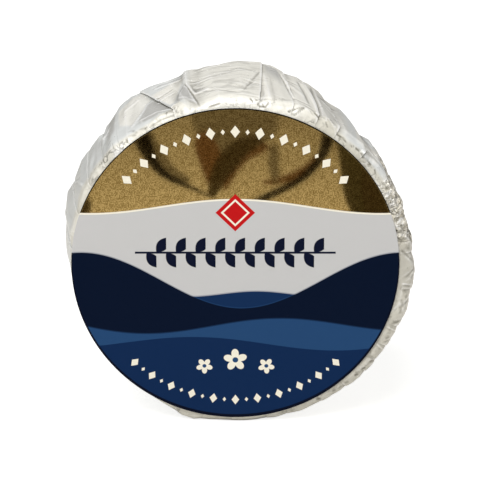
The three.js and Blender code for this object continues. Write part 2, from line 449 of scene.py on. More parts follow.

# %% Layers where the photograph has them
# A layer is its height, its tone, and its corners: angle, place along the paper, and how softly
# the edge from this corner to the next ends, in millimetres. Tone is painted light and shade on the
# panel: it goes from -1, painted bright, to 1, painted grey shade, and a tone past 1 stays grey up
# to the layer's edges.
LAYERS = [
    # The small flap, the panel below the long fold and the bright one above it.
    (0.34, 2.5, [(108.2, 0, 0.25), (103.5, -17.2, 0.8), (110.4, -11.4, 0.4), (110.2, -8.1, 0.4)]),
    (0.08, 1.8, [
        (119.9, 0.6, 0.3), (113.2, -13, 0.6), (118.7, -16.3, 1.2), (125.7, -13.3, 0.6), (124, -9, 0.5),
    ]),
    (0.0, -0.8, [
        (124.3, 12.5, 0.6), (120.3, 0.6, 0.5), (122.8, -6.5, 0.6), (127.5, -13.2, 1), (132.9, -7, 0.8),
        (134.3, 8, 0.8),
    ]),
    (0.0, 0.7, [(135.4, 12, 0.8), (134, -8, 2), (139, -14, 2), (141.5, 3, 1), (140, 10, 1)]),
    (0.0, -1.0, [
        (121, 4.5, 0.3), (113.2, -12.1, 0.5), (111.2, -12.4, 0.5), (110.6, -8, 0.4), (108.6, 0, 0.6),
        (108.2, 12, 2),
    ]),
    (-0.3, 0.7, [(105.9, -3.8, 0.6), (99.3, -6.1, 3), (102.3, -8.5, 0.5), (104.9, -8.6, 0.5)]),
    # The upper right, from the straight fold to the notch in the outline.
    (0.0, -1.0, [(82.3, 1, 0.4), (83.1, -10.5, 1), (79.8, -16, 1), (81.4, -1, 0.5)]),
    (0.0, 0.9, [(82.2, 14, 1), (81.4, 1, 6), (74.8, -4, 0.8), (76.6, 12, 1)]),
    (0.0, -0.5, [(75.2, 9, 0.4), (72, -10, 1), (66.8, -10, 1), (69.8, 9, 1)]),
    (0.12, -1.0, [(69.2, 9, 0.4), (63.8, -17, 1), (62.7, -16.6, 0.4), (64.6, 2.4, 0.4), (66.4, 9, 1)]),
    (0.0, 0.4, [(64.4, 9, 0.5), (62.4, -16, 0.8), (56, -17.4, 1.5), (51, -6, 3), (48, 10, 3)]),
    (0.0, 0.2, [(62, -15.2, 2), (33, -15.2, 2), (33, -18.7, 0.5), (60, -18.2, 2)]),
    (0.0, 0.3, [(61, -18.5, 0.6), (33, -18.5, 1), (33, -24, 1), (61, -24, 1)]),
    (0.0, -0.7, [(46.8, 7, 1), (48.6, -17.5, 1.5), (36, -18.5, 1.5), (33, 2, 5)]),
    (0.25, 0.0, [(76, -16.5, 0.3), (71.5, -13, 0.3), (64.5, -18, 2), (72, -22, 3)]),
    # The left side and the lower right.
    (0.22, 0.3, [(165, 13, 0.3), (153.7, -13, 2), (158, -17, 6), (173, 12, 3)]),
    (0.2, 0.4, [(141, 12, 0.4), (147.5, 4, 3), (146, -13, 5), (142.5, -8, 0.5)]),
    (0.26, 0.0, [(12, -19, 0.3), (8, -8, 4), (-6, -10, 3), (-4, -20, 2)]),
    (0.25, 0.0, [(-44, 10, 0.3), (-39, -15, 2), (-55, -17, 5), (-60, 8, 4)]),
]
print(len(LAYERS), "layers with", sum(len(corners) for _, _, corners in LAYERS), "corners")

# %% Creases
# A crease is its two ends (angle and place along the paper), its height, below 0 where it sinks
# in, and its reach to either side.
CREASES = [
    # Between the two big top folds, from the left.
    (108.6, 15, 106.8, -8, 0.45, 1.1), (106.8, -2, 104.7, -9.8, 0.35, 0.7),
    (104.7, -9.8, 99.5, -8.8, 0.3, 0.8), (101.7, -9.7, 90.3, -14.5, -0.2, 0.6),
    (100.4, 1.6, 87.6, 4.3, -0.2, 0.6), (91, -16, 79, -16.8, -0.15, 0.6),
    (88.4, -12.4, 83, 5.1, -0.25, 0.7), (87.2, -8.3, 84.7, -3.5, -0.2, 0.5),
    (81.9, 4, 80, -16.3, 0.4, 1.4),
    # The upper right.
    (76.3, 9, 72.5, -9.8, -0.35, 0.5), (75.4, 8, 72.0, -9.4, 0.3, 0.6), (75, 7, 69.4, 4, -0.15, 1.0),
    (74.6, 3.5, 68.4, -5.2, 0.2, 1.3), (72.6, -10.6, 66.1, -12.7, -0.18, 0.9),
    (69.6, 9, 66.7, -10, -0.3, 0.6), (67.4, 14, 63.6, -15.5, 0.5, 1.5),
    (64.2, 10, 62.5, -16.7, -0.45, 0.9), (61.4, 2.6, 54.3, 3.5, -0.45, 0.5),
    (60.9, -0.4, 55.5, -3, -0.45, 0.5), (60, -6, 55, -9, -0.3, 0.6),
    (68.2, -13.6, 64.8, -16, -0.2, 0.5), (59.4, -16, 56.2, -17.5, 0.3, 0.5),
    (44, -8, 33, -15, 0.25, 1.0), (38, 8, 30, -6, -0.25, 1.2),
    # The left side.
    (120.1, 8.8, 109.9, 7.9, 0.35, 0.8), (120.1, 8.8, 117.5, 12.1, -0.3, 0.6),
    (117.5, 12.1, 108.4, 11, -0.3, 0.7), (119.1, -1.5, 112.9, 1.3, -0.3, 0.7),
    (118.1, -4.7, 112, -2.6, 0.25, 0.8), (125, -12.2, 110.8, -14.2, 0.25, 0.6),
    (121.7, -18.1, 111.1, -17.7, -0.2, 0.5), (119.9, 0.3, 122.8, -6.5, 0.2, 0.5),
    (122.8, -6.5, 127.5, -13.2, 0.3, 0.6), (124.4, 4.3, 130.7, 1.8, 0.25, 1.2),
    (128.5, 9, 131, -9, 0.3, 2.5), (142.7, -1.5, 138.2, 0.9, 0.4, 0.7),
    (139.8, 3.4, 138.2, 5.2, -0.5, 0.6), (140.6, 2, 142, -7.5, 0.3, 1.0), (147.5, 3, 150, -12, 0.3, 2),
    (161, 5, 156.4, -1, -0.3, 0.6), (165, 11.9, 158.8, 0.3, 0.3, 0.6),
    (158.8, 0.3, 154.8, -10.7, 0.3, 0.6), (172, 6, 168, -14, 0.3, 1.6),
    # The lower right, with three short edges where pleats end.
    (24, -6, 15, -16, 0.4, 1.1), (10, 6, 3, -12, -0.35, 1.0), (-14, 8, -19, -14, 0.35, 1.2),
    (16.8, -20, 5.6, -16, -0.35, 0.6), (5.4, -20.2, 0.6, -17, -0.25, 0.5),
    (-7, -20.5, -8, -16, 0.2, 0.4), (-24.2, -20.5, -25.2, -17, 0.2, 0.4),
    (-31.8, -20.5, -33, -17, 0.2, 0.4), (2, -12, -5, -19.5, -0.3, 0.8),
    (-9.5, -13, -16, -19.5, -0.3, 0.9), (-17, -12, -22.5, -19.5, -0.25, 0.8),
    (-26, -13, -30, -19, -0.25, 0.8), (-35, -12, -39, -19, -0.3, 0.9), (-52, 6, -46, -15, 0.35, 1.3),
]
print(len(CREASES), "creases, the highest", max(crease[4] for crease in CREASES), "mm")

# %% Pinches
# A pinch is a short tight crease with painted shade inside: its two ends, how dark that painted shade is,
# and its reach.
PINCHES = [
    (100.4, -18.9, 96.2, -18.7, 0.8, 0.4), (92, -18.2, 89.5, -18.2, 0.6, 0.35),
    (86.3, -17.3, 85.2, -18.4, 0.8, 0.4), (84.6, -17.7, 82.4, -17, 0.7, 0.35),
    (83.3, -18, 83.7, -19, 0.8, 0.4), (83.7, -19, 81, -19.2, 0.8, 0.4),
    (81, -19.2, 80, -17.8, 0.8, 0.4), (82, -18.2, 81.6, -19.4, 0.5, 0.4),
    (73.2, -19.2, 71.1, -17.9, 0.8, 0.35), (71.1, -17.9, 68.2, -16.4, 0.5, 0.35),
    (68.2, -16.4, 70.6, -19.4, 0.7, 0.35), (70.6, -19.4, 73.2, -19.2, 0.6, 0.35),
    (64.7, -16.6, 62.6, -17.5, 1.0, 0.45), (60.1, -17.9, 58.6, -18.9, 0.5, 0.4),
    (59.2, -16.2, 56.6, -17.2, 0.8, 0.35), (55.1, -18.6, 52.9, -18.8, 0.9, 0.4),
    (52.9, -18.8, 50.4, -19.2, 0.7, 0.4), (46.6, -18.8, 44.9, -18.6, 0.9, 0.45),
    (44.1, -18.7, 41.9, -18.5, 0.8, 0.4), (40.3, -18.2, 38.3, -18.5, 0.8, 0.4),
    (39.3, -19.2, 38.3, -18.5, 0.6, 0.4), (48.6, -19.4, 47.4, -18.7, 0.5, 0.35),
    (36.4, -18.6, 35, -19.3, 0.7, 0.4), (62.2, 3.6, 54.3, 4.5, 1.0, 0.9),
    (61.4, -0.4, 55.5, -3, 1.0, 0.8), (108.1, -0.2, 103.4, -17.1, 0.7, 0.35),
    (120.9, 2.9, 113.6, -12.2, 0.5, 0.35), (118.6, -0.2, 116.1, -1.3, 0.8, 0.4),
    (130.5, -17.6, 130.8, -18.6, 0.9, 0.4), (135.2, -15.5, 135.5, -18.5, 0.4, 0.3),
    (128.9, -15, 127.5, -15.7, 0.4, 0.35), (127.5, -15.7, 126.5, -17.5, 0.5, 0.35),
    (126.5, -17.5, 127.6, -18, 0.5, 0.35), (127.6, -18, 128.8, -17.2, 0.4, 0.35),
    (124.8, -17.1, 123.4, -17.6, 0.5, 0.35), (123.4, -17.6, 122.8, -18.4, 0.4, 0.35),
    (139.8, 3.4, 138.2, 5.2, 0.7, 0.4), (-7.6, -19.8, -8.2, -17.6, 0.5, 0.35),
    (-13, -19.6, -15.4, -18.8, 0.45, 0.5), (-15.8, -19.4, -18.2, -18.9, 0.5, 0.5),
    (-28.6, -19.3, -27.6, -18.5, 0.5, 0.6), (-38.7, -18.8, -37.8, -18, 0.7, 0.6),
    (-42.5, -19.2, -41.3, -18.6, 0.8, 0.7), (-45.9, -19.3, -44.7, -18.7, 0.8, 0.7),
    (-50.4, -19.3, -49, -18.9, 0.5, 0.7), (-55.6, -19.3, -54.4, -18.9, 0.6, 0.8),
    (-61.8, -19.5, -60.4, -18.8, 0.8, 0.8),
]
PINCH_DEPTH = 0.2
print(len(PINCHES), "pinches,", PINCH_DEPTH, "mm deep")

# %% Heights of the layers, creases and pinches
# A layer reaches at most this many degrees from its middle.
NEAR_LAYER = 40
# A crease fades at each end over this share of its length.
CREASE_FADE = 0.3


def layer_height():
    """Sums over the layers of height * inside and of tone * inside, where tone is painted light and
    shade. Inside is the product over the edges of the inner distance / softness, from 0 to 1."""
    total, tone = np.zeros_like(angle_grid), np.zeros_like(angle_grid)
    for height, painted_light_and_shade, corners in LAYERS:
        inside = np.ones_like(angle_grid)
        middle_angle, middle_paper = np.mean([c[:2] for c in corners], axis=0)
        near = np.abs(angle_away(angle_grid, middle_angle)) < NEAR_LAYER
        for (a0, p0, soft), (a1, p1, _) in zip(corners, corners[1:] + corners[:1]):
            side, _ = line_axes(a0, p0, a1, p1)
            dx, dy = angle_away(a1, a0), p1 - p0
            inward = angle_away(middle_angle, a0) * dy - (middle_paper - p0) * dx
            inside *= np.clip(side * math.copysign(1, inward) / soft, 0, 1)
        total += height * inside * near
        tone += painted_light_and_shade * inside * near
    return total, np.clip(tone, -1, 1)


def crease_height(creases):
    """Sum of height * (1 - distance / reach), not below 0, fading at both ends."""
    total = np.zeros_like(angle_grid)
    for a0, p0, a1, p1, height, reach in creases:
        side, along = line_axes(a0, p0, a1, p1)
        total += height * np.clip(1 - np.abs(side) / reach, 0, 1) * window(along, 0, 1, CREASE_FADE)
    return total


# tone is painted light and shade on the panels: below 0 painted bright, above 0 painted grey.
layers, tone = layer_height()
pinched = np.clip(crease_height(PINCHES), 0, 1)
layered = layers + crease_height(CREASES) - PINCH_DEPTH * pinched
print("folds from", round(float(layered.min()), 2), "to", round(float(layered.max()), 2), "mm")

# %% [markdown]
# ## Wrinkles and crumpling
# On the top of the wheel the paper was pushed together between two big folds, so fine wrinkles run
# round the wheel there. The right side is crumpled all over, the left side is smooth between its
# pleats, and the front margin beside the label is gathered into small puckers.

# %% Zones of the sheet
# A zone is 1 where it holds and 0 elsewhere. around() takes degrees round the wheel, and window()
# millimetres along the paper. This line is where the side ends and the bright margin beside the
# label begins: angle, place along the paper.
MARGIN_EDGE = [
    (20, -18), (36, -18.5), (51, -18.6), (55, -17.5), (61.6, -16), (68, -13.6), (73, -12.5),
    (79.6, -15.5), (84, -16.5), (100, -17.5), (107, -17.5), (110, -12.8), (115, -15.2),
    (120.4, -17.1), (136, -17), (143, -14.5), (153, -12.5), (162, -14.7), (167, -17),
    (180, -17.5), (340, -17.5),
]
# The puckers are lower by this share beside the top.
PUCKERS_LOWER = 0.55

worn = around(-80, 28, 12) * window(paper_grid, -40, 26, 12)
crumple_sway = lattice_noise(24, 9, 51)
crumpled = window(angle_away(angle_grid + 4 * crumple_sway, 21), -13, 13, 7)
crumpled = crumpled * window(paper_grid + 5 * crumple_sway, -40, 12, 16)
wrinkled = around(82, 107, 6) * window(paper_grid, -15, 17, 6)
to_margin = paper_grid - np.interp(angle_grid, *np.transpose(MARGIN_EDGE), period=360)
margin = window(to_margin, -30, 0, 1.5 + 9 * around(66, 106, 10) + 4 * around(140, 170, 10))
puckered = around(34, 150, 10) * (1 - PUCKERS_LOWER * around(64, 112, 8))
puckered = puckered * window(to_margin, -8, -0.3, 1)
side_zone = window(paper_grid, -21, 24, 5)
margin_zone = window(paper_grid, -24, -16, 2.5)
back_zone = window(paper_grid, 17, 90, 8)
print(round(100 * float((crumpled > 0.5).mean())), "% of the grid is crumpled")

# %% Fine relief over the whole sheet
# Height, place along the paper and half width of the flattened band where the crumpled corner
# turns to the front.
BEVEL, BEVEL_PAPER, BEVEL_HALF = -0.25, -18.3, 2.6
GATHERS = 0.06


def top_wrinkles():
    """Zigzag lines that run round the wheel between the two big top folds, about 4 mm apart, with
    thinner ones about 2 mm apart, and a few facets."""
    sway = 1.1 * lattice_noise(22, 8, 11) + 0.4 * lattice_noise(70, 5, 12)
    lines = zigzag(paper_grid / 4.3 + angle_grid / 17 + sway)
    thin = zigzag(paper_grid / 2.3 - angle_grid / 40 + 1.7 * sway)
    uneven = np.clip(0.5 + 0.9 * lattice_noise(40, 5, 14), 0, 1.2)
    return wrinkled * (uneven * (0.13 * lines + 0.08 * thin) + 0.12 * facets(60, 7, 13))


def fine_relief():
    """Facets of several sizes, each with its own zone and height in millimetres. Where |facets| is
    taken, they fold to sharp valleys."""
    tight = crumpled * window(paper_grid, -25, 14, 7)
    wide = side_zone * (0.15 + 0.05 * worn) * facets(34, 11, 31, slant=0.4)
    middle = side_zone * (0.12 * worn + 0.16 * crumpled) * facets(66, 5, 32, slant=-0.3)
    slanted = (0.16 * worn + 0.16 * crumpled) * side_zone * np.abs(facets(64, 5, 40, slant=1.3, bend=0.5))
    long_pleats = 0.46 * np.abs(facets(130, 8, 33, slant=0.9, bend=0.5))
    short_pleats = 0.36 * np.abs(facets(210, 5, 34, slant=-0.8)) + 0.12 * np.abs(facets(270, 1.6, 43))
    small = slanted + tight * (long_pleats + short_pleats - 0.42)
    smooth = side_zone * (1 - crumpled) * 0.035 * facets(110, 5, 35, slant=0.5)
    streaks = margin_zone * (0.08 * facets(44, 1.5, 36, bend=0.5) + 0.03 * np.abs(facets(200, 1.6, 37)))
    gathers = zigzag(angle_grid / 3.1 + 1.2 * lattice_noise(90, 2.5, 41))
    gathers = puckered * gathers * np.clip(lattice_noise(60, 3, 42) * 2, 0, 1)
    bevel = np.clip(1 - np.abs(paper_grid - BEVEL_PAPER) / BEVEL_HALF, 0, 1)
    bevel = BEVEL * around(30, 62, 7) * bevel
    back = back_zone * (0.16 * facets(40, 9, 38, slant=0.3) + 0.05 * facets(90, 4, 39))
    return wide + middle + small + smooth + streaks + GATHERS * gathers + bevel + back


fine = top_wrinkles() + fine_relief()
print("fine relief from", round(float(fine.min()), 2), "to", round(float(fine.max()), 2), "mm")

# %% All relief together, kept below the label
# Angle, height and breadth of hollows and bulges that the slow lumps leave out.
BULGES = [
    (107.5, 0.8, 2.5), (39, -0.7, 3.5), (11, -0.4, 4), (-7, 0.6, 6), (-152, -0.55, 16), (134.8, 1.0, 3.6),
]
# The sheet rises at most this much under the label, and by CLEARING more per millimetre past it.
UNDER_LABEL = 0.12
LABEL_EDGE_PAPER = -20.4
CLEARING = 0.6

bulges = side_zone * lumpiness(BULGES, angle_grid)
below_label = UNDER_LABEL + CLEARING * np.clip(paper_grid - LABEL_EDGE_PAPER, 0, None)
relief = np.minimum(layered + fine + bulges, below_label)
print("relief from", round(float(relief.min()), 2), "to", round(float(relief.max()), 2), "mm")

# %% Points of the wrapper
# On the back: height of the pleats as a share of their height on the side, and swirl in degrees.
BACK_PLEAT = 0.75
BACK_SWIRL = 14


def wrapper_points():
    """Millimetres from the wheel's centre. Radius goes from round to faceted as the profile turns
    outwards, relief moves a point along its normal, and the foot is cut flat. On the back the
    pleats stand along the axis, fade towards the middle and swirl by
    BACK_SWIRL * (1 - share) ** 1.5."""
    swirl = BACK_SWIRL * (1 - share_row) ** 1.5 * on_back_row
    turn = np.radians(lapped_angles() + swirl)
    smooth = round_radius(angle_grid, depth_row)
    radius = share_row * (from_to(smooth, faceted, out_row) - drop_row) + out_row * relief
    fade = np.clip(share_row * 3 - 0.3, 0, 1)
    back = on_back_row * (1 - out_row) * BACK_PLEAT * pleat_heights * fade
    depth = depth_row + along_row * relief + back
    height = np.maximum(radius * np.sin(turn), -FOOT_DEPTH)
    return np.stack([radius * np.cos(turn), depth, height], -1)


points = wrapper_points()
print("wrapper reaches", points.reshape(-1, 3).min(0).round(1), points.reshape(-1, 3).max(0).round(1))

# %% [markdown]
# ## From arrays to a mesh
# The rings become one closed mesh: a quad between each pair of rows and columns, and a fan of
# triangles at both poles. Faces are smooth, apart from sharp edges along the laps of the folds,
# where the sheet turns back under itself.

# %% Mesh from rings of points


def ring_faces(count, number):
    """Corners and sizes of the faces on count rings of number points: a quad between each two
    neighbours, and triangles to the first and the last pole, which are the last two points."""
    here = np.arange((count - 1) * number).reshape(count - 1, number)
    there = np.roll(here, -1, axis=1)
    quads = np.stack([here, here + number, there + number, there], -1).reshape(-1, 4)
    first, last = np.arange(number), np.arange(number) + (count - 1) * number
    fan_in = np.stack([np.full(number, count * number), first, np.roll(first, -1)], -1)
    fan_out = np.stack([np.full(number, count * number + 1), np.roll(last, -1), last], -1)
    corners = np.concatenate([quads.ravel(), fan_in.ravel(), fan_out.ravel()])
    return corners, np.concatenate([np.full(len(quads), 4), np.full(2 * number, 3)])


def mark_sharp(mesh, number, columns):
    """Marks the edges whose two ends both lie on one of these columns."""
    ends = np.empty(2 * len(mesh.edges), int)
    mesh.edges.foreach_get("vertices", ends)
    ends = ends.reshape(-1, 2) % number
    sharp = (ends[:, 0] == ends[:, 1]) & np.isin(ends[:, 0], columns)
    mesh.attributes.new("sharp_edge", "BOOLEAN", "EDGE").data.foreach_set("value", sharp)


def closed_surface(name, rings, first_pole, last_pole, sharp_columns=(), attributes=None):
    """Mesh of rings closed round the axis, with a fan to a pole at each end. rings is rows x points
    x 3, in millimetres from the wheel's centre. attributes is name -> rows x points values."""
    corners, sizes = ring_faces(*rings.shape[:2])
    cloud = np.concatenate([rings.reshape(-1, 3), [first_pole, last_pole]]) + wheel_centre
    mesh = bpy.data.meshes.new(name)
    mesh.vertices.add(len(cloud))
    mesh.vertices.foreach_set("co", (cloud * MM).ravel())
    mesh.loops.add(len(corners))
    mesh.loops.foreach_set("vertex_index", corners)
    mesh.polygons.add(len(sizes))
    mesh.polygons.foreach_set("loop_start", np.concatenate([[0], np.cumsum(sizes)[:-1]]))
    mesh.polygons.foreach_set("use_smooth", np.ones(len(sizes), bool))
    mesh.update(calc_edges=True)
    mesh.validate()
    if len(sharp_columns):
        mark_sharp(mesh, rings.shape[1], sharp_columns)
    for title, values in (attributes or {}).items():
        layer = mesh.attributes.new(title, "FLOAT", "POINT")
        poles = [values[0].mean(), values[-1].mean()]
        layer.data.foreach_set("value", np.concatenate([values.ravel(), poles]).astype(np.float32))
    piece = bpy.data.objects.new(name, mesh)
    bpy.context.scene.collection.objects.link(piece)
    print(name, len(mesh.vertices), "points,", int((sizes - 2).sum()), "triangles")
    return piece


print("a ring of 4 points and its two poles:", ring_faces(1, 4)[0].tolist())

# %% [markdown]
# ## What the sheet knows about itself
# Little light gets down into a fold, and light catches its ridges. A render shows some of that
# by itself, but not for folds a tenth of a millimetre deep. So each point keeps how far it lies
# below or above its neighbours, and in which zone it is, as attributes that the material reads to
# paint shade into the folds and highlights onto the ridges. They could be painted on by hand.
# Worked out from the heights, they always fit the folds.

# %% Shade in the folds
# How far a point has to lie below its neighbours, near or further off, to be fully shaded, in
# millimetres, and how much each of the two counts.
NARROW_FOLD, NARROW_SHARE = 0.09, 0.6
WIDE_FOLD, WIDE_SHARE = 0.16, 0.4
MOST_SHADE = 1.2
CREST_FROM = 0.15
# How much paler the folds are where the sheet was pressed flat, on the left side and on the back.
PALER_LEFT, PALER_BACK = 0.5, 0.6
# The dark line just above the table, in millimetres high, and its shade.
FOOT_LINE, FOOT_SHADE = 0.5, 0.9
BULGE_SHADE = 0.35


def below_neighbours(height, steps):
    """How far each point lies below the mean of its neighbours, with one blur for each step. Where
    it stands above them the value is negative."""
    mean = height
    for step in steps:
        mean = (mean + np.roll(mean, step, 1) + np.roll(mean, -step, 1)) / 3
        padded = np.pad(mean, ((1, 1), (0, 0)), mode="edge")
        mean = (mean + padded[2:] + padded[:-2]) / 3
    return mean - height


def shade_and_crest():
    """Shade is 1 at the bottom of a fold, where shade is painted, and crest is 1 along a ridge, where a
    highlight is painted: a narrow and a wide measure together for the shade, and the narrow one for
    the crest."""
    height = relief + np.maximum(out_row, BACK_PLEAT * on_back_row) * pleat_heights
    narrow = below_neighbours(height, (1, 1, 1)) / NARROW_FOLD
    wide = below_neighbours(height, (2, 3, 4, 5)) / WIDE_FOLD
    shade = NARROW_SHARE * np.clip(narrow, 0, MOST_SHADE) + WIDE_SHARE * np.clip(wide, 0, MOST_SHADE)
    return np.clip(shade, 0, 1), np.clip(-narrow - CREST_FROM, 0, 1)


shade, crest = shade_and_crest()
shade = shade * (1 - PALER_LEFT * around(124, 186, 8)) * (1 - PALER_BACK * back_zone)
# Painted shade: a dark line along the foot, and shade under the bulge at the right.
above_foot = (points[..., 2] + FOOT_DEPTH) / FOOT_LINE
shade = np.maximum(shade, FOOT_SHADE * np.clip(1 - above_foot, 0, 1))
shade = np.maximum(shade, BULGE_SHADE * around(-10, 8, 5) * window(paper_grid, -40, 20, 20))
print(round(100 * float((shade > 0.5).mean())), "% of the grid lies in shade")

# %% The wrapper's sheet
CREAM_AT_TOP = 0.9
# Duller cream of the margin, partly its own colour and partly painted shade over the lit shoulder:
# how strong it is, how much of it is missing beside the top, and how much more there is at the
# upper right.
MARGIN_TINT_AND_SHADE, LESS_AT_TOP, MORE_AT_RIGHT = 0.6, 0.7, 0.5

creamy = np.maximum(margin, CREAM_AT_TOP * around(52, 108, 6) * window(paper_grid, -30, 20, 8))
margin_tint_and_shade = MARGIN_TINT_AND_SHADE * margin * (1 - LESS_AT_TOP * around(66, 112, 12))
margin_tint_and_shade = margin_tint_and_shade * (1 + MORE_AT_RIGHT * around(30, 64, 10))
wrapper = closed_surface(
    "wrapper_sheet", points, (0, FRONT_Y, 0), (0, BACK_Y + BACK_DOME, 0),
    sharp_columns=np.flatnonzero((place == 0) | (place == 1)),
    attributes={
        "fold_shade": shade, "crest": crest, "crumpled": crumpled, "worn": worn, "creamy": creamy,
        "wrinkled": wrinkled, "puckered": puckered, "margin": margin, "tone": tone, "pinched": pinched,
        "margin_tint_and_shade": margin_tint_and_shade,
    },
)

# %% [markdown]
# ## The label
# The real label is a round sticker, thinner than a fingernail, printed in three fields: gold foil
# on top, a satin white band, and blues below. It is stretched over a soft cheese, so it waves a
# little. That is what makes the dark streaks in the gold: the foil is a soft mirror, and each
# wave turns the reflection. So the waves are made in the mesh and not painted.

# %% Label mesh
LABEL_THICKNESS = 0.2
LABEL_GAP = 0.22
LABEL_STEPS = 360
LABEL_FACE_RINGS = 120
# Shares of the radius at the first ring on the front and at the last ring behind.
LABEL_FIRST_RING, LABEL_LAST_RING = 0.01, 0.5
LABEL_RIM = 0.09
LABEL_STRETCH = 0.3
LABEL_FACE_Y = FRONT_Y - LABEL_GAP - LABEL_THICKNESS
# Waves of the sticker: millimetres per radian along x and along z, shift, and height.
LABEL_WAVES = [(13.0, 19.0, 0.4, 0.024), (-8.5, 12.0, 1.9, 0.014), (6.2, -9.5, 0.7, 0.006)]


def label_wave(x, z):
    """Sum of height * sin(x / length + shift) * cos(z / length + shift)."""
    return sum(h * np.sin(x / a + shift) * np.cos(z / b + shift) for a, b, shift, h in LABEL_WAVES)


def label_points():
    """A thin disc: rings out over the front face, a quarter circle round the rim, and back in. It
    was pulled down when it was stuck on, so z = (radius + stretch) * sin - stretch."""
    rim = np.radians([30, 60, 90])
    rim_share = LABEL_RIM / LABEL_RADIUS
    face = np.linspace(LABEL_FIRST_RING, 1 - 2 * rim_share, LABEL_FACE_RINGS)
    face = np.append(face, 1 - rim_share)
    rolled = face[-1] + rim_share * np.sin(rim)
    share = np.concatenate([face, rolled, [1, face[-1], LABEL_LAST_RING]])[:, None]
    behind = np.concatenate([0 * face, LABEL_RIM * (1 - np.cos(rim)), [LABEL_THICKNESS] * 3])[:, None]
    turn = np.linspace(0, 2 * math.pi, LABEL_STEPS, endpoint=False)
    x = share * LABEL_RADIUS * np.cos(turn)
    z = share * (LABEL_RADIUS + LABEL_STRETCH) * np.sin(turn) - share * LABEL_STRETCH
    y = LABEL_FACE_Y - label_wave(x, z) + behind
    return np.stack([x + LABEL_ASIDE, y, z], -1)


rings = label_points()
label = closed_surface(
    "label_sticker", rings,
    (LABEL_ASIDE, rings[0, :, 1].mean(), 0), (LABEL_ASIDE, rings[-1, :, 1].mean(), 0),
)

# %% [markdown]
# ## Small tools for materials
# Patterns are worked out with math nodes, so that they are sharp at any size. A tree could be
# clicked together in the shader editor, but it has hundreds of nodes. A few short functions keep it
# readable: each adds one kind of node and returns its output. Colours are laid over each other like
# coats of paint, each through its own mask.

# %% Node helpers: numbers and colours


def put(tree, socket, value):
    """Links a socket to the value, or sets it as the socket's own number or colour."""
    if isinstance(value, bpy.types.NodeSocket):
        tree.links.new(value, socket)
    else:
        socket.default_value = value


def calc(tree, operation, *values, clamp=False):
    """Output of a math node on the values."""
    node = tree.nodes.new("ShaderNodeMath")
    node.operation = operation
    node.use_clamp = clamp
    for socket, value in zip(node.inputs, values):
        put(tree, socket, value)
    return node.outputs[0]


def times(tree, first, *others):
    """Product of all the values."""
    for other in others:
        first = calc(tree, "MULTIPLY", first, other)
    return first


def largest(tree, first, *others):
    """The largest of the values."""
    for other in others:
        first = calc(tree, "MAXIMUM", first, other)
    return first


def distance(tree, value, place):
    """|value - place|."""
    return calc(tree, "ABSOLUTE", calc(tree, "SUBTRACT", value, place))


def blend_colours(tree, factor, first, second):
    """first where factor is 0, second where it is 1."""
    node = tree.nodes.new("ShaderNodeMix")
    node.data_type = "RGBA"
    put(tree, node.inputs[0], factor)
    put(tree, node.inputs[6], first)
    put(tree, node.inputs[7], second)
    return node.outputs[2]


def laid_over(tree, colour, coats):
    """The colour with each coat, a mask and its paint, laid over the ones before."""
    for mask, paint in coats:
        colour = blend_colours(tree, mask, colour, paint)
    return colour


def srgb(red, green, blue):
    """A colour given as 0 to 255 display values, as the shader's linear colour: v / 12.92 up to
    0.04045, and ((v + 0.055) / 1.055) ** 2.4 past it."""
    line = [v / 255 for v in (red, green, blue)]
    line = [v / 12.92 if v <= 0.04045 else ((v + 0.055) / 1.055) ** 2.4 for v in line]
    return (*line, 1.0)


print("middle grey as a linear colour:", round(srgb(128, 128, 128)[0], 3))

# %% Node helpers: groups and materials


def new_group(name, inputs, outputs):
    """An empty node group. inputs is name -> default number or vector, outputs a list of names."""
    tree = bpy.data.node_groups.new(name, "ShaderNodeTree")
    for title, default in inputs.items():
        kind = "NodeSocketVector" if isinstance(default, tuple) else "NodeSocketFloat"
        tree.interface.new_socket(name=title, in_out="INPUT", socket_type=kind).default_value = default
    for title in outputs:
        tree.interface.new_socket(name=title, in_out="OUTPUT", socket_type="NodeSocketFloat")
    return tree, tree.nodes.new("NodeGroupInput").outputs, tree.nodes.new("NodeGroupOutput").inputs


def use_group(tree, group, **values):
    """Places a group and sets its inputs by name, with _ for a space."""
    node = tree.nodes.new("ShaderNodeGroup")
    node.node_tree = group
    for title, value in values.items():
        put(tree, node.inputs[title.replace("_", " ")], value)
    return node.outputs


def new_material(name):
    """A material with its tree and its Principled shader."""
    material = bpy.data.materials.new(name)
    material.use_nodes = True
    tree = material.node_tree
    return material, tree, tree.nodes["Principled BSDF"]


def millimetres(tree, origin):
    """Object coordinates turned into millimetres from origin by a Mapping node."""
    coordinates = tree.nodes.new("ShaderNodeTexCoord")
    mapping = tree.nodes.new("ShaderNodeMapping")
    mapping.inputs["Scale"].default_value = (1 / MM, 1 / MM, 1 / MM)
    mapping.inputs["Location"].default_value = tuple(-v for v in origin)
    tree.links.new(coordinates.outputs["Object"], mapping.inputs["Vector"])
    return mapping.outputs["Vector"]


def add_bump(tree, shader, height, reach):
    """Tilts the shader's normal as if the surface rose by height * reach millimetres."""
    bump = tree.nodes.new("ShaderNodeBump")
    bump.inputs["Strength"].default_value = 1.0
    bump.inputs["Distance"].default_value = reach * MM
    tree.links.new(height, bump.inputs["Height"])
    tree.links.new(bump.outputs["Normal"], shader.inputs["Normal"])


print("materials so far:", len(bpy.data.materials), "from the fixed model")

# %% [markdown]
# ## Grain that both sheets share
# Coated foil and a foil sticker both have a fine uneven grain, and soft mottling at a larger
# scale. One group gives both: Height for a bump, and Tone for the colour.

# %% Group: sheet grain


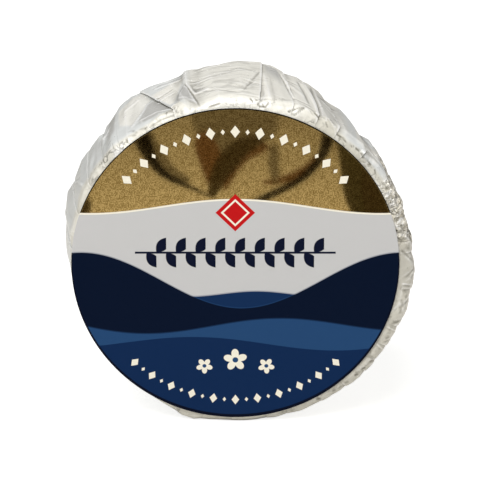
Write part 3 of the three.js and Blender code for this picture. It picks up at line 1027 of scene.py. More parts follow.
def make_sheet_grain():
    """Tone is noise at four times Size, Height is noise at Size plus a share of the tone."""
    tree, given, result = new_group(
        "sheet grain", {"Vector": (0.0, 0.0, 0.0), "Size": 0.5}, ["Height", "Tone"])
    fineness = calc(tree, "DIVIDE", 1.0, given["Size"])
    fine = tree.nodes.new("ShaderNodeTexNoise")
    coarse = tree.nodes.new("ShaderNodeTexNoise")
    for node, scale, detail in ((fine, fineness, 2.0), (coarse, calc(tree, "DIVIDE", fineness, 4.0), 3.0)):
        put(tree, node.inputs["Vector"], given["Vector"])
        put(tree, node.inputs["Scale"], scale)
        node.inputs["Detail"].default_value = detail
    tree.links.new(coarse.outputs["Fac"], result["Tone"])
    mixed = calc(tree, "MULTIPLY_ADD", coarse.outputs["Fac"], 0.4, fine.outputs["Fac"])
    tree.links.new(mixed, result["Height"])
    return tree


sheet_grain = make_sheet_grain()
print("group", sheet_grain.name, "has sockets", [s.name for s in sheet_grain.interface.items_tree])

# %% [markdown]
# ## Crinkled foil
# Crushed foil breaks into small flat facets that meet in sharp edges. Ordinary noise is rounded,
# like cloth. The distance to scattered points, counted along the axes, has flat slopes and sharp
# valleys, so it makes a better height for foil.

# %% Group: foil crinkle


def make_foil_crinkle():
    """Flat facets with sharp edges: |dx| + |dy| + |dz| from the nearest of many scattered points,
    in millimetres, with the place bent by noise so that the edges run every way."""
    tree, given, result = new_group(
        "foil crinkle", {"Vector": (0.0, 0.0, 0.0), "Size": 1.5, "Stretch": (1.0, 1.0, 1.0)}, ["Height"])
    bend = tree.nodes.new("ShaderNodeTexNoise")
    bent = tree.nodes.new("ShaderNodeVectorMath")
    bent.operation = "MULTIPLY_ADD"
    scaled = tree.nodes.new("ShaderNodeVectorMath")
    scaled.operation = "MULTIPLY"
    cells = tree.nodes.new("ShaderNodeTexVoronoi")
    cells.distance = "MANHATTAN"
    fineness = calc(tree, "DIVIDE", 1.0, given["Size"])
    put(tree, bend.inputs["Vector"], given["Vector"])
    put(tree, bend.inputs["Scale"], calc(tree, "MULTIPLY", fineness, 0.5))
    put(tree, bent.inputs[0], bend.outputs["Color"])
    bent.inputs[1].default_value = (2.5, 2.5, 2.5)
    put(tree, bent.inputs[2], given["Vector"])
    put(tree, scaled.inputs[0], bent.outputs[0])
    put(tree, scaled.inputs[1], given["Stretch"])
    put(tree, cells.inputs["Vector"], scaled.outputs[0])
    put(tree, cells.inputs["Scale"], fineness)
    tree.links.new(calc(tree, "MULTIPLY", cells.outputs["Distance"], given["Size"]), result["Height"])
    return tree


foil_crinkle = make_foil_crinkle()
print("group", foil_crinkle.name, "has sockets", [s.name for s in foil_crinkle.interface.items_tree])

# %% [markdown]
# ## The wrapper's finish
# The foil is coated white: cool and satin where it is smooth, warmer and duller where it is
# crumpled. Shade is painted darker down in the folds, where little light gets in, and highlights are
# painted bright along ridges, cracks and crushed edges. The mesh's own attributes say where that is.
# Marks too fine for the mesh, such as thin lines, curls and cracks, are patterns.

# %% Patterns for foil


def attribute(tree, name):
    """Value of one of the mesh's own attributes."""
    node = tree.nodes.new("ShaderNodeAttribute")
    node.attribute_name = name
    return node.outputs["Fac"]


def noise(tree, vector, size, detail):
    """Noise from 0 to 1 with features of about this size in millimetres."""
    node = tree.nodes.new("ShaderNodeTexNoise")
    node.inputs["Scale"].default_value = 1 / size
    node.inputs["Detail"].default_value = detail
    tree.links.new(vector, node.inputs["Vector"])
    return node.outputs["Fac"]


def above(tree, value, level, gain):
    """(value - level) * gain, kept between 0 and 1."""
    return calc(tree, "MULTIPLY", calc(tree, "SUBTRACT", value, level), gain, clamp=True)


def line_of(tree, value, level, gain):
    """1 where the value is at the level, falling to 0 at both sides: a contour line."""
    return calc(tree, "SUBTRACT", 1.0, times(tree, distance(tree, value, level), gain), clamp=True)


def stretched(tree, vector, factors):
    """The vector times factors, one for each axis."""
    node = tree.nodes.new("ShaderNodeVectorMath")
    node.operation = "MULTIPLY"
    tree.links.new(vector, node.inputs[0])
    node.inputs[1].default_value = factors
    return node.outputs[0]


def foil_creases(tree, place, cell, width):
    """Thin straight lines where foil was once creased: edges of Voronoi cells, shown only where a
    noise is above its middle."""
    cells = tree.nodes.new("ShaderNodeTexVoronoi")
    cells.feature = "DISTANCE_TO_EDGE"
    cells.inputs["Scale"].default_value = 1 / cell
    tree.links.new(place, cells.inputs["Vector"])
    away = times(tree, cells.outputs["Distance"], cell / width)
    line = calc(tree, "SUBTRACT", 1.0, away, clamp=True)
    return times(tree, line, above(tree, noise(tree, place, 0.8 * cell, 1.0), 0.47, 6.0))


print("attributes to read:", [a.name for a in wrapper.data.attributes if a.data_type == "FLOAT"])

# %% Colours of the paper
PAPER_COOL = srgb(229, 231, 229)
PAPER_CREAM = srgb(243, 240, 230)
# Painted shade and painted light on the panels, laid where a layer's tone says.
PAPER_PAINTED_SHADE = srgb(196, 195, 191)
PAPER_PAINTED_LIGHT = srgb(252, 249, 240)
PAPER_WORN = srgb(222, 218, 208)
# The margin's duller cream: partly its own colour, partly painted shade.
PAPER_MARGIN_TINT_AND_SHADE = srgb(208, 204, 190)
PAPER_CRUMPLED = srgb(252, 243, 222)
FOLD_SHADE = srgb(122, 119, 110)
# Painted highlight on ridges, cracks and crushed edges.
PAINTED_HIGHLIGHT = srgb(253, 252, 250)
# Specks and blotches, and painted shade in crushed edges and pinches.
SPECK_AND_CREASE_SHADE = srgb(98, 93, 76)
WORN_COVER = 0.9
CRUMPLED_COVER = 0.8
MOTTLE_SIZE, MOTTLE_COVER = 6.0, 0.1
DULL_SIZE, DULL_COVER = 1.7, 0.08


def paper_colour(tree, place):
    """Cool on the panels, cream at the top and the margin, painted shade where a layer's tone is grey
    and painted light where it is bright, worn at the lower right, warm where crumpled, duller at the
    margin, partly by painted shade, and faintly mottled."""
    tone = attribute(tree, "tone")
    mottle = above(tree, noise(tree, place, MOTTLE_SIZE, 3.0), 0.5, 2.0)
    dull = above(tree, noise(tree, place, DULL_SIZE, 2.0), 0.44, 5.0)
    dull = times(tree, dull, attribute(tree, "margin"))
    return laid_over(tree, PAPER_COOL, [
        (attribute(tree, "creamy"), PAPER_CREAM),
        (calc(tree, "MAXIMUM", tone, 0.0), PAPER_PAINTED_SHADE),
        (calc(tree, "MAXIMUM", times(tree, tone, -1.0), 0.0), PAPER_PAINTED_LIGHT),
        (times(tree, attribute(tree, "worn"), WORN_COVER), PAPER_WORN),
        (times(tree, attribute(tree, "crumpled"), CRUMPLED_COVER), PAPER_CRUMPLED),
        (attribute(tree, "margin_tint_and_shade"), PAPER_MARGIN_TINT_AND_SHADE),
        (calc(tree, "MULTIPLY_ADD", dull, DULL_COVER, times(tree, mottle, MOTTLE_COVER)), FOLD_SHADE),
    ])


print("paper from", [round(v, 2) for v in PAPER_PAINTED_SHADE[:3]], "to", [round(v, 2) for v in PAPER_PAINTED_LIGHT[:3]])

# %% Fine marks on the foil
# Size of the cells whose edges are cracks, and the width of a crack, in millimetres.
CRACK_CELL, CRACK_WIDTH = 9.0, 0.35
# Cells of the crumpled corner whose edges get painted shade and painted highlights.
DARK_CRUSH_CELL, LIGHT_CRUSH_CELL, CRUSH_WIDTH = 2.3, 1.9, 0.26
# Patterns on the crumpled corner are stretched across the side, as its small pleats are, and the
# wrinkles of the top run round it.
ACROSS = (1.0, 0.25, 1.0)
ROUND_THE_TOP = (0.16, 1.0, 1.0)
# Sizes of the noise that each kind of mark comes from, in millimetres.
WRINKLE_SIZE = 3.0
CURL_SIZE, CURL_PATCH = 2.0, 4.0
SPOT_SIZE, SPOT_STRETCH = 1.1, (1.0, 0.35, 1.0)
BLOTCH_SIZE, BLOTCH_COVER = 1.8, 0.4
# How strongly painted shade covers the crushed edges and the insides of pinches.
CRUSHED_COVER = 0.85
PINCH_SHADE_COVER = 0.9


def fine_marks(tree, place):
    """Masks by name: wrinkle lines on the top, curls at the margin, a few straight cracks, and the
    edges of the crumpled corner that get painted shade and those that get painted highlights."""
    crumpled_there = attribute(tree, "crumpled")
    crushed = stretched(tree, place, ACROSS)
    crushed_too = stretched(tree, crushed, (1.1, 1.2, 0.9))
    wrinkles = noise(tree, stretched(tree, place, ROUND_THE_TOP), WRINKLE_SIZE, 2.0)
    lines = line_of(tree, wrinkles, 0.5, 22.0)
    curls = line_of(tree, noise(tree, place, CURL_SIZE, 2.5), 0.52, 14.0)
    curls = times(tree, curls, above(tree, noise(tree, place, CURL_PATCH, 1.0), 0.44, 8.0))
    crease_shade_edges = foil_creases(tree, crushed, DARK_CRUSH_CELL, CRUSH_WIDTH)
    glint_edges = foil_creases(tree, crushed_too, LIGHT_CRUSH_CELL, CRUSH_WIDTH)
    return {
        "lines": times(tree, lines, attribute(tree, "wrinkled")),
        "curls": times(tree, curls, attribute(tree, "puckered")),
        "cracks": foil_creases(tree, place, CRACK_CELL, CRACK_WIDTH),
        "crease_shade_edges": times(tree, crease_shade_edges, crumpled_there),
        "glint_edges": times(tree, glint_edges, crumpled_there),
    }


def specks_and_crease_shade(tree, place, marks, deep):
    """Specks in the crumpled corner, blotches on the worn side, and painted shade in crushed edges and
    pinches.
    """
    spots = above(tree, noise(tree, stretched(tree, place, SPOT_STRETCH), SPOT_SIZE, 3.0), 0.6, 10.0)
    spots = times(tree, spots, attribute(tree, "crumpled"))
    specks = calc(tree, "MULTIPLY", spots, calc(tree, "ADD", deep, 0.5), clamp=True)
    blotches = above(tree, noise(tree, place, BLOTCH_SIZE, 2.5), 0.58, 9.0)
    blotches = times(tree, blotches, attribute(tree, "worn"), BLOTCH_COVER)
    edges = times(tree, marks["crease_shade_edges"], CRUSHED_COVER)
    return largest(tree, specks, blotches, edges, times(tree, attribute(tree, "pinched"), PINCH_SHADE_COVER))


print("cracks every", CRACK_CELL, "mm, crushed edges every", LIGHT_CRUSH_CELL, "to", DARK_CRUSH_CELL, "mm")

# %% Height of the foil's marks
# Sizes in millimetres. The heights below are shares of BUMP_HEIGHT, which is in millimetres too.
GRAIN_OF_FOIL, GRAIN_SHARE = 0.9, 0.05
LARGE_CRINKLE, SMALL_CRINKLE, SMALL_CRINKLE_SHARE = 2.2, 1.1, 0.6
CRINKLE, CRINKLE_MORE_AT_MARGIN, CRINKLE_MORE_CRUMPLED = 0.03, 0.04, 0.8
LINE_HEIGHT = -0.08
CRACK_HEIGHT = 0.09
CRUSHED_HEIGHT = 0.15
BUMP_HEIGHT = 0.6


def foil_height(tree, place, marks, grain):
    """Crinkle, strong where crumpled, plus grain, less the wrinkle lines, plus the cracks and the
    crushed edges."""
    large = use_group(tree, foil_crinkle, Vector=place, Size=LARGE_CRINKLE, Stretch=(1.0, 0.35, 1.0))
    small = use_group(tree, foil_crinkle, Vector=place, Size=SMALL_CRINKLE, Stretch=(1.0, 0.4, 1.0))
    crinkle = calc(tree, "ADD", large["Height"], times(tree, small["Height"], SMALL_CRINKLE_SHARE))
    strength = calc(tree, "MULTIPLY_ADD", attribute(tree, "margin"), CRINKLE_MORE_AT_MARGIN, CRINKLE)
    strength = calc(tree, "MULTIPLY_ADD", attribute(tree, "crumpled"), CRINKLE_MORE_CRUMPLED, strength)
    height = calc(tree, "MULTIPLY_ADD", crinkle, strength, times(tree, grain["Height"], GRAIN_SHARE))
    lines = largest(tree, marks["lines"], marks["curls"])
    height = calc(tree, "MULTIPLY_ADD", lines, LINE_HEIGHT, height)
    height = calc(tree, "MULTIPLY_ADD", marks["cracks"], CRACK_HEIGHT, height)
    crushed = calc(tree, "SUBTRACT", marks["glint_edges"], marks["crease_shade_edges"])
    return calc(tree, "MULTIPLY_ADD", crushed, CRUSHED_HEIGHT, height)


print("crinkle is", round(1 + CRINKLE_MORE_CRUMPLED / CRINKLE), "times as high where foil is crumpled")

# %% Wrapper material
# How strongly the painted shade in a fold and each kind of mark covers the paper. Crests, cracks
# and the light crushed edges cover it with painted highlights.
FOLD_COVER, FOLD_COVER_MORE_CRUMPLED = 0.65, -0.2
LINE_COVER = 0.36
CREST_COVER = 0.7
CRACK_COVER = 0.35
GLINT_EDGE_COVER = 0.9
# How much of the metal shows through the white coat.
FOIL_SHOWING = 0.22
FOIL_SHOWING_CRUMPLED = 0.1
FOIL_SHOWING_MARGIN = -0.12
ROUGHNESS, ROUGHER_AT_MARGIN, ROUGHER_BY_GRAIN = 0.22, 0.18, 0.16
COAT_REFLECTION = 0.35


def make_wrapper_material():
    """Paper colours, then painted shade in the folds and lines, painted highlights on ridges, cracks and
    crushed edges, and specks with painted shade in crushed edges and pinches.
    """
    material, tree, shader = new_material("coated_foil")
    place = millimetres(tree, wheel_centre)
    grain = use_group(tree, sheet_grain, Vector=place, Size=GRAIN_OF_FOIL)
    marks = fine_marks(tree, place)
    deep = attribute(tree, "fold_shade")
    crumpled_there = attribute(tree, "crumpled")
    at_margin = attribute(tree, "margin")
    cover = calc(tree, "MULTIPLY_ADD", crumpled_there, FOLD_COVER_MORE_CRUMPLED, FOLD_COVER)
    shaded = largest(tree, times(tree, marks["lines"], LINE_COVER), marks["curls"],
                     times(tree, deep, cover))
    # Painted highlights on ridges, cracks and crushed edges.
    bright = largest(tree, times(tree, attribute(tree, "crest"), CREST_COVER),
                     times(tree, marks["cracks"], CRACK_COVER),
                     times(tree, marks["glint_edges"], GLINT_EDGE_COVER))
    dark = specks_and_crease_shade(tree, place, marks, deep)
    colour = laid_over(tree, paper_colour(tree, place), [
        (shaded, FOLD_SHADE), (bright, PAINTED_HIGHLIGHT), (dark, SPECK_AND_CREASE_SHADE)])
    tree.links.new(colour, shader.inputs["Base Color"])
    metal = calc(tree, "MULTIPLY_ADD", crumpled_there, FOIL_SHOWING_CRUMPLED, FOIL_SHOWING)
    metal = calc(tree, "MULTIPLY_ADD", at_margin, FOIL_SHOWING_MARGIN, metal)
    tree.links.new(metal, shader.inputs["Metallic"])
    rough = calc(tree, "MULTIPLY_ADD", at_margin, ROUGHER_AT_MARGIN, ROUGHNESS)
    rough = calc(tree, "MULTIPLY_ADD", grain["Tone"], ROUGHER_BY_GRAIN, rough)
    tree.links.new(rough, shader.inputs["Roughness"])
    shader.inputs["Specular IOR Level"].default_value = COAT_REFLECTION
    add_bump(tree, shader, foil_height(tree, place, marks, grain), BUMP_HEIGHT)
    return material


wrapper.data.materials.append(make_wrapper_material())
print("wrapper material:", wrapper.data.materials[0].name)

# %% [markdown]
# ## The label's print
# The print is a generic design: a gold field with a row of small lozenges, a white band with a red
# seal and a garland of leaves, and calm blue waves with three white flowers. Each motif is a mask
# made by a node group: 1 inside the motif and 0 outside, with an edge a tenth of a millimetre
# soft, as ink has. Masks are measured in millimetres from the label's middle. A picture file could
# hold the print too, but formulas stay sharp however near the camera comes.

# %% Group: field with a wavy edge
INK_EDGE = 0.13


def ink(tree, inside):
    """Mask from a signed distance in millimetres, positive inside: distance / INK_EDGE + 0.5, kept
    between 0 and 1."""
    return calc(tree, "MULTIPLY_ADD", inside, 1 / INK_EDGE, 0.5, clamp=True)


def length_of(tree, x, z):
    """sqrt(x^2 + z^2)."""
    return calc(tree, "SQRT", calc(tree, "MULTIPLY_ADD", x, x, times(tree, z, z)))


def make_wave_field():
    """Mask of what lies below base + rise * sin(x / length + shift) + bow * x^2 / 1000."""
    tree, given, result = new_group("wave field", {
        "X": 0.0, "Z": 0.0, "Base": 0.0, "Rise": 1.0, "Length": 10.0, "Shift": 0.0, "Bow": 0.0}, ["Mask"])
    phase = calc(tree, "ADD", calc(tree, "DIVIDE", given["X"], given["Length"]), given["Shift"])
    edge = calc(tree, "MULTIPLY_ADD", calc(tree, "SINE", phase), given["Rise"], given["Base"])
    edge = calc(tree, "MULTIPLY_ADD", times(tree, given["X"], given["X"], 0.001), given["Bow"], edge)
    tree.links.new(ink(tree, calc(tree, "SUBTRACT", edge, given["Z"])), result["Mask"])
    return tree


wave_field = make_wave_field()
print("group", wave_field.name, "has an edge", INK_EDGE, "mm soft")

# %% Group: arc of lozenges
FLATTER = 1.35
SMALLER = 0.45


def make_lozenge_arc():
    """Lozenges every Step degrees along a circle of Radius, within Spread degrees of Middle. Inside
    is where FLATTER * |along| + |across| is under Size, times SMALLER on every other one."""
    tree, given, result = new_group("lozenge arc", {
        "X": 0.0, "Z": 0.0, "Radius": 38.0, "Middle": 90.0, "Spread": 50.0, "Step": 5.0,
        "Size": 1.5}, ["Mask"])
    turn = calc(tree, "DEGREES", calc(tree, "ARCTAN2", given["Z"], given["X"]))
    away = calc(tree, "WRAP", calc(tree, "SUBTRACT", turn, given["Middle"]), 180.0, -180.0)
    steps = calc(tree, "DIVIDE", away, given["Step"])
    number = calc(tree, "ROUND", steps)
    along = times(tree, calc(tree, "SUBTRACT", steps, number), given["Step"])
    along = times(tree, calc(tree, "RADIANS", along), given["Radius"])
    across = distance(tree, length_of(tree, given["X"], given["Z"]), given["Radius"])
    odd = calc(tree, "ABSOLUTE", calc(tree, "MODULO", number, 2.0))
    size = times(tree, given["Size"], calc(tree, "MULTIPLY_ADD", odd, SMALLER - 1, 1.0))
    spread = calc(tree, "ADD", times(tree, calc(tree, "ABSOLUTE", along), FLATTER), across)
    inside = ink(tree, times(tree, calc(tree, "SUBTRACT", size, spread), 0.7))
    from_middle = calc(tree, "ABSOLUTE", times(tree, number, given["Step"]))
    there = calc(tree, "LESS_THAN", from_middle, given["Spread"])
    tree.links.new(times(tree, inside, there), result["Mask"])
    return tree


lozenge_arc = make_lozenge_arc()
print("group", lozenge_arc.name, "has", len(lozenge_arc.nodes), "nodes")

# %% Groups: flower and leaf row


def make_flower():
    """Five petals, where the reach is under Radius * (0.48 + 0.52 * |cos(2.5 * turn)|), and a Heart,
    where it is under 0.24 * Radius."""
    tree, given, result = new_group("flower", {
        "X": 0.0, "Z": 0.0, "Place X": 0.0, "Place Z": 0.0, "Radius": 2.5, "Turn": 0.0}, ["Mask", "Heart"])
    x = calc(tree, "SUBTRACT", given["X"], given["Place X"])
    z = calc(tree, "SUBTRACT", given["Z"], given["Place Z"])
    reach = length_of(tree, x, z)
    turn = calc(tree, "ADD", calc(tree, "ARCTAN2", z, x), given["Turn"])
    wave = calc(tree, "ABSOLUTE", calc(tree, "COSINE", times(tree, turn, 2.5)))
    edge = times(tree, calc(tree, "MULTIPLY_ADD", wave, 0.52, 0.48), given["Radius"])
    tree.links.new(ink(tree, calc(tree, "SUBTRACT", edge, reach)), result["Mask"])
    heart = calc(tree, "SUBTRACT", times(tree, given["Radius"], 0.24), reach)
    tree.links.new(ink(tree, heart), result["Heart"])
    return tree


def make_leaf_row():
    """Slanting leaves along a line, one every Spacing, up to Reach from the middle. A leaf is Length
    long and Width * (1 - share^2) wide, where share goes from -1 to 1 along it."""
    tree, given, result = new_group("leaf row", {
        "X": 0.0, "Z": 0.0, "Spacing": 4.5, "Length": 4.2, "Width": 1.7, "Tilt": 0.9,
        "Reach": 27.0}, ["Mask"])
    number = calc(tree, "ROUND", calc(tree, "DIVIDE", given["X"], given["Spacing"]))
    x = calc(tree, "SUBTRACT", given["X"], times(tree, number, given["Spacing"]))
    cosine, sine = calc(tree, "COSINE", given["Tilt"]), calc(tree, "SINE", given["Tilt"])
    along = calc(tree, "MULTIPLY_ADD", x, cosine, times(tree, given["Z"], sine))
    across = calc(tree, "SUBTRACT", times(tree, given["Z"], cosine), times(tree, x, sine))
    middle = calc(tree, "SUBTRACT", along, times(tree, given["Length"], 0.5))
    share = calc(tree, "DIVIDE", times(tree, middle, 2.0), given["Length"])
    bulge = calc(tree, "SUBTRACT", 1.0, times(tree, share, share))
    half = times(tree, bulge, given["Width"], 0.5)
    inside = ink(tree, calc(tree, "SUBTRACT", half, calc(tree, "ABSOLUTE", across)))
    from_middle = calc(tree, "ABSOLUTE", times(tree, number, given["Spacing"]))
    there = calc(tree, "LESS_THAN", from_middle, given["Reach"])
    tree.links.new(times(tree, inside, there), result["Mask"])
    return tree


flower, leaf_row = make_flower(), make_leaf_row()
for motif in (flower, leaf_row):
    print("group", motif.name, "has", len(motif.nodes), "nodes")

# %% Colours and layout of the print
GOLD = srgb(196, 169, 110)
GOLD_DARK = srgb(138, 113, 63)
WHITE_BAND = srgb(202, 201, 200)
CREAM = srgb(246, 240, 222)
RED = srgb(196, 26, 28)
INK_NAVY = srgb(14, 20, 42)
# Painted shade along the label's rim, on the gold and on the blues.
RIM_SHADE_ON_GOLD = srgb(20, 16, 10)
RIM_SHADE_ON_BLUE = srgb(8, 14, 32)
BLUE_PALE = srgb(38, 72, 114)
BLUES = [srgb(20, 46, 84), srgb(7, 19, 41), BLUE_PALE, srgb(17, 42, 80)]
# Base, rise, length, shift and bow of each blue field's upper edge, and of the gold's lower edge.
BLUE_EDGES = [
    (-8.6, 0.8, 6.0, 0.6, 0.0), (-4.6, -8.2, 14.0, 1.45, 0.0), (-18.4, 2.4, 12.0, 0.6, 0.5),
    (-23.6, 2.2, 13.0, 2.4, 0.5),
]
GOLD_EDGE = (17.0, 2.2, 13.0, 1.57, 0.2)
GOLD_LINE = 0.5
BLUE_LINE, BLUE_LINE_COVER = 0.3, 0.4
# A thin dark line of painted shade runs round the label's rim, but not round its white band.
RIM_SHADE_WIDTH = 0.36
TOP_ARC = {"Radius": 38.4, "Middle": 90.0, "Spread": 53.0, "Step": 5.0, "Size": 1.75}
LOW_ARC = {"Radius": 40.2, "Middle": -90.0, "Spread": 48.0, "Step": 4.4, "Size": 1.45}
SEAL_Z, SEAL_REACH = 15.2, 5.4
SEAL_LINE, SEAL_LINE_HALF = 3.6, 0.35
STEM_Z, STEM_REACH, STEM_HALF = 3.6, 27.5, 0.3
LEAVES = {"Spacing": 5.4, "Length": 5.6, "Width": 3.1, "Tilt": 0.92, "Reach": 25.0}
# Place, radius and turn of each flower.
FLOWERS = [(-8.6, -30.0, 2.3, 0.3), (0.0, -28.2, 3.3, 0.9), (8.6, -30.0, 2.3, 1.5)]
print(len(BLUES), "blue fields and", len(FLOWERS), "flowers")

# %% Masks of the print


def field(tree, x, z, values, lower=0.0):
    """Mask below a wave edge that is lowered by some millimetres."""
    base, rise, length, shift, bow = values
    return use_group(tree, wave_field, X=x, Z=z, Base=base - lower, Rise=rise, Length=length,
                     Shift=shift, Bow=bow)["Mask"]


def seal_masks(tree, x, z):
    """The seal, where |x| + |z| from its middle is under SEAL_REACH, and the line in it, where that
    sum is SEAL_LINE."""
    reach = calc(tree, "ADD", calc(tree, "ABSOLUTE", x), distance(tree, z, SEAL_Z))
    seal = ink(tree, calc(tree, "SUBTRACT", SEAL_REACH, reach))
    line = ink(tree, calc(tree, "SUBTRACT", SEAL_LINE_HALF, distance(tree, reach, SEAL_LINE)))
    return seal, times(tree, line, seal)


def garland_mask(tree, x, z):
    """A stem, leaves above it, and the same leaves mirrored below it and moved half a spacing."""
    stem_z = calc(tree, "SUBTRACT", z, STEM_Z)
    upper = use_group(tree, leaf_row, X=x, Z=stem_z, **LEAVES)["Mask"]
    shifted = calc(tree, "ADD", x, LEAVES["Spacing"] / 2)
    lower = use_group(tree, leaf_row, X=shifted, Z=times(tree, stem_z, -1.0), **LEAVES)["Mask"]
    stem = ink(tree, calc(tree, "SUBTRACT", STEM_HALF, calc(tree, "ABSOLUTE", stem_z)))
    stem = times(tree, stem, calc(tree, "LESS_THAN", calc(tree, "ABSOLUTE", x), STEM_REACH))
    return largest(tree, upper, lower, stem)


def rim_shade_mask(tree, x, z, below_gold):
    """Painted shade in a line round the label, where the reach is past its radius less the width of the
    line, on the gold and on the blues."""
    edge = ink(tree, calc(tree, "SUBTRACT", length_of(tree, x, z), LABEL_RADIUS - RIM_SHADE_WIDTH))
    on_gold = calc(tree, "SUBTRACT", 1.0, below_gold)
    return times(tree, edge, largest(tree, on_gold, field(tree, x, z, BLUE_EDGES[1])))


print("a garland of", 2 * STEM_REACH, "mm with leaves every", LEAVES["Spacing"], "mm")

# %% Label material
# The gold's colour goes from dark to light as the grain goes through its middle height.
GRAIN_SIZE = 0.34
GRAIN_HEIGHT = 0.0006
GRAIN_MIDDLE, GRAIN_GAIN = 0.7, 5.0
INK_ROUGHNESS = 0.3
FOIL_ROUGHNESS, FOIL_UNEVENNESS = 0.03, 0.02
INK_REFLECTION = 0.03


def ink_coats(tree, x, z, below_gold, arcs, seal, seal_line):
    """The inks from the bottom up: cream line, white band, blues with a paler line along the upper
    edge of each, lozenges, seal, garland and flowers."""
    coats = [(below_gold, CREAM), (field(tree, x, z, GOLD_EDGE, GOLD_LINE), WHITE_BAND)]
    for edge, blue in zip(BLUE_EDGES, BLUES):
        line = times(tree, field(tree, x, z, edge, -BLUE_LINE), BLUE_LINE_COVER)
        coats += [(line, BLUE_PALE), (field(tree, x, z, edge), blue)]
    coats += [(arcs, CREAM), (seal, RED), (seal_line, CREAM), (garland_mask(tree, x, z), INK_NAVY)]
    for place_x, place_z, radius, turn in FLOWERS:
        petals = use_group(tree, flower, X=x, Z=z, Place_X=place_x, Place_Z=place_z, Radius=radius,
                           Turn=turn)
        coats += [(petals["Mask"], CREAM), (petals["Heart"], BLUE_PALE)]
    return coats


def make_label_material():
    """Gold with the inks laid over it. The gold is a soft mirror of metal, the ink isn't."""
    material, tree, shader = new_material("printed_label")
    place = millimetres(tree, label_centre)
    split = tree.nodes.new("ShaderNodeSeparateXYZ")
    tree.links.new(place, split.inputs[0])
    x, z = split.outputs["X"], split.outputs["Z"]
    grain = use_group(tree, sheet_grain, Vector=place, Size=GRAIN_SIZE)
    tone = calc(tree, "SUBTRACT", grain["Height"], GRAIN_MIDDLE)
    tone = calc(tree, "MULTIPLY_ADD", tone, GRAIN_GAIN, 0.5, clamp=True)
    below_gold = field(tree, x, z, GOLD_EDGE)
    top_arc = use_group(tree, lozenge_arc, X=x, Z=z, **TOP_ARC)["Mask"]
    low_arc = use_group(tree, lozenge_arc, X=x, Z=z, **LOW_ARC)["Mask"]
    seal, seal_line = seal_masks(tree, x, z)
    edge = rim_shade_mask(tree, x, z, below_gold)
    arcs = largest(tree, top_arc, low_arc)
    coats = ink_coats(tree, x, z, below_gold, arcs, seal, seal_line)
    # Painted shade along the label's rim.
    coats.append((edge, blend_colours(tree, below_gold, RIM_SHADE_ON_GOLD, RIM_SHADE_ON_BLUE)))
    colour = laid_over(tree, blend_colours(tree, tone, GOLD_DARK, GOLD), coats)
    tree.links.new(colour, shader.inputs["Base Color"])
    printed = largest(tree, below_gold, top_arc, seal, edge)
    tree.links.new(calc(tree, "SUBTRACT", 1.0, printed, clamp=True), shader.inputs["Metallic"])
    rough = calc(tree, "MULTIPLY_ADD", grain["Tone"], FOIL_UNEVENNESS, FOIL_ROUGHNESS)
    tree.links.new(calc(tree, "MULTIPLY_ADD", printed, INK_ROUGHNESS, rough), shader.inputs["Roughness"])
    shader.inputs["Specular IOR Level"].default_value = INK_REFLECTION
    add_bump(tree, shader, grain["Height"], GRAIN_HEIGHT)
    return material


label.data.materials.append(make_label_material())
print("label material:", label.data.materials[0].name)

# %% [markdown]
# ## Floor
# The wheel stands on a plain pale floor. The upright label mirrors the floor in front of it, where
# the table is darker than what the camera sees behind the wheel, so the floor has one colour for
# the camera and another for mirror rays: bright close to the wheel and darker further out. A bent
# sheet of paper, as in a photographer's studio, would do it too, but would need much more tuning.

# %% Floor
# Sizes in metres. Near and far are distances from under the wheel.
FLOOR_SIZE = 4.0
FLOOR_COLOUR = srgb(180, 180, 179)
FLOOR_GLOW = srgb(255, 255, 254)
FLOOR_LIFT = 0.8
FLOOR_BOUNCE = srgb(206, 205, 202)
MIRRORED_NEAR = srgb(248, 243, 234)
MIRRORED_FAR = srgb(118, 112, 102)
MIRROR_NEAR, MIRROR_FAR = 0.13, 0.36


def stage_object(name, corners, faces, material):
    """A mesh that belongs to the studio and not to the object."""
    mesh = bpy.data.meshes.new(name)
    mesh.from_pydata([tuple(c) for c in corners], [], faces)
    mesh.materials.append(material)
    thing = bpy.data.objects.new(name, mesh)
    bpy.context.scene.collection.objects.link(thing)
    return thing


def make_floor():
    """A flat square at the height of the wheel's foot."""
    half = FLOOR_SIZE / 2
    material, tree, shader = new_material("studio_floor")
    place = tree.nodes.new("ShaderNodeTexCoord").outputs["Object"]
    path = tree.nodes.new("ShaderNodeLightPath")
    reach = tree.nodes.new("ShaderNodeVectorMath")
    reach.operation = "LENGTH"
    tree.links.new(place, reach.inputs[0])
    far = calc(tree, "DIVIDE", calc(tree, "SUBTRACT", reach.outputs["Value"], MIRROR_NEAR),
               MIRROR_FAR - MIRROR_NEAR, clamp=True)
    mirrored = blend_colours(tree, far, MIRRORED_NEAR, MIRRORED_FAR)
    colour = blend_colours(tree, path.outputs["Is Camera Ray"], FLOOR_BOUNCE, FLOOR_COLOUR)
    colour = blend_colours(tree, path.outputs["Is Glossy Ray"], colour, mirrored)
    tree.links.new(colour, shader.inputs["Base Color"])
    shader.inputs["Roughness"].default_value = 0.9
    shader.inputs["Specular IOR Level"].default_value = 0.1
    shader.inputs["Emission Color"].default_value = FLOOR_GLOW
    lift = calc(tree, "MULTIPLY", path.outputs["Is Camera Ray"], FLOOR_LIFT)
    tree.links.new(lift, shader.inputs["Emission Strength"])
    corners = [(-half, -half, 0), (half, -half, 0), (half, half, 0), (-half, half, 0)]
    return stage_object("floor", corners, [(0, 1, 2, 3)], material)


print("the", make_floor().name, "is", FLOOR_SIZE, "m across")

# %% [markdown]
# ## What the gold mirrors
# Gold foil shows little colour of its own: most of what is seen in it is the studio. In the
# photograph dark curved things show in it. A photographer gets such streaks by laying black cards
# on the table in front of the object, so the same is done here. Each card is a ribbon along a
# smooth path. The path is given where it should show on the label, and a line from the camera's
# mirror image through that spot to the floor says where the card has to lie.

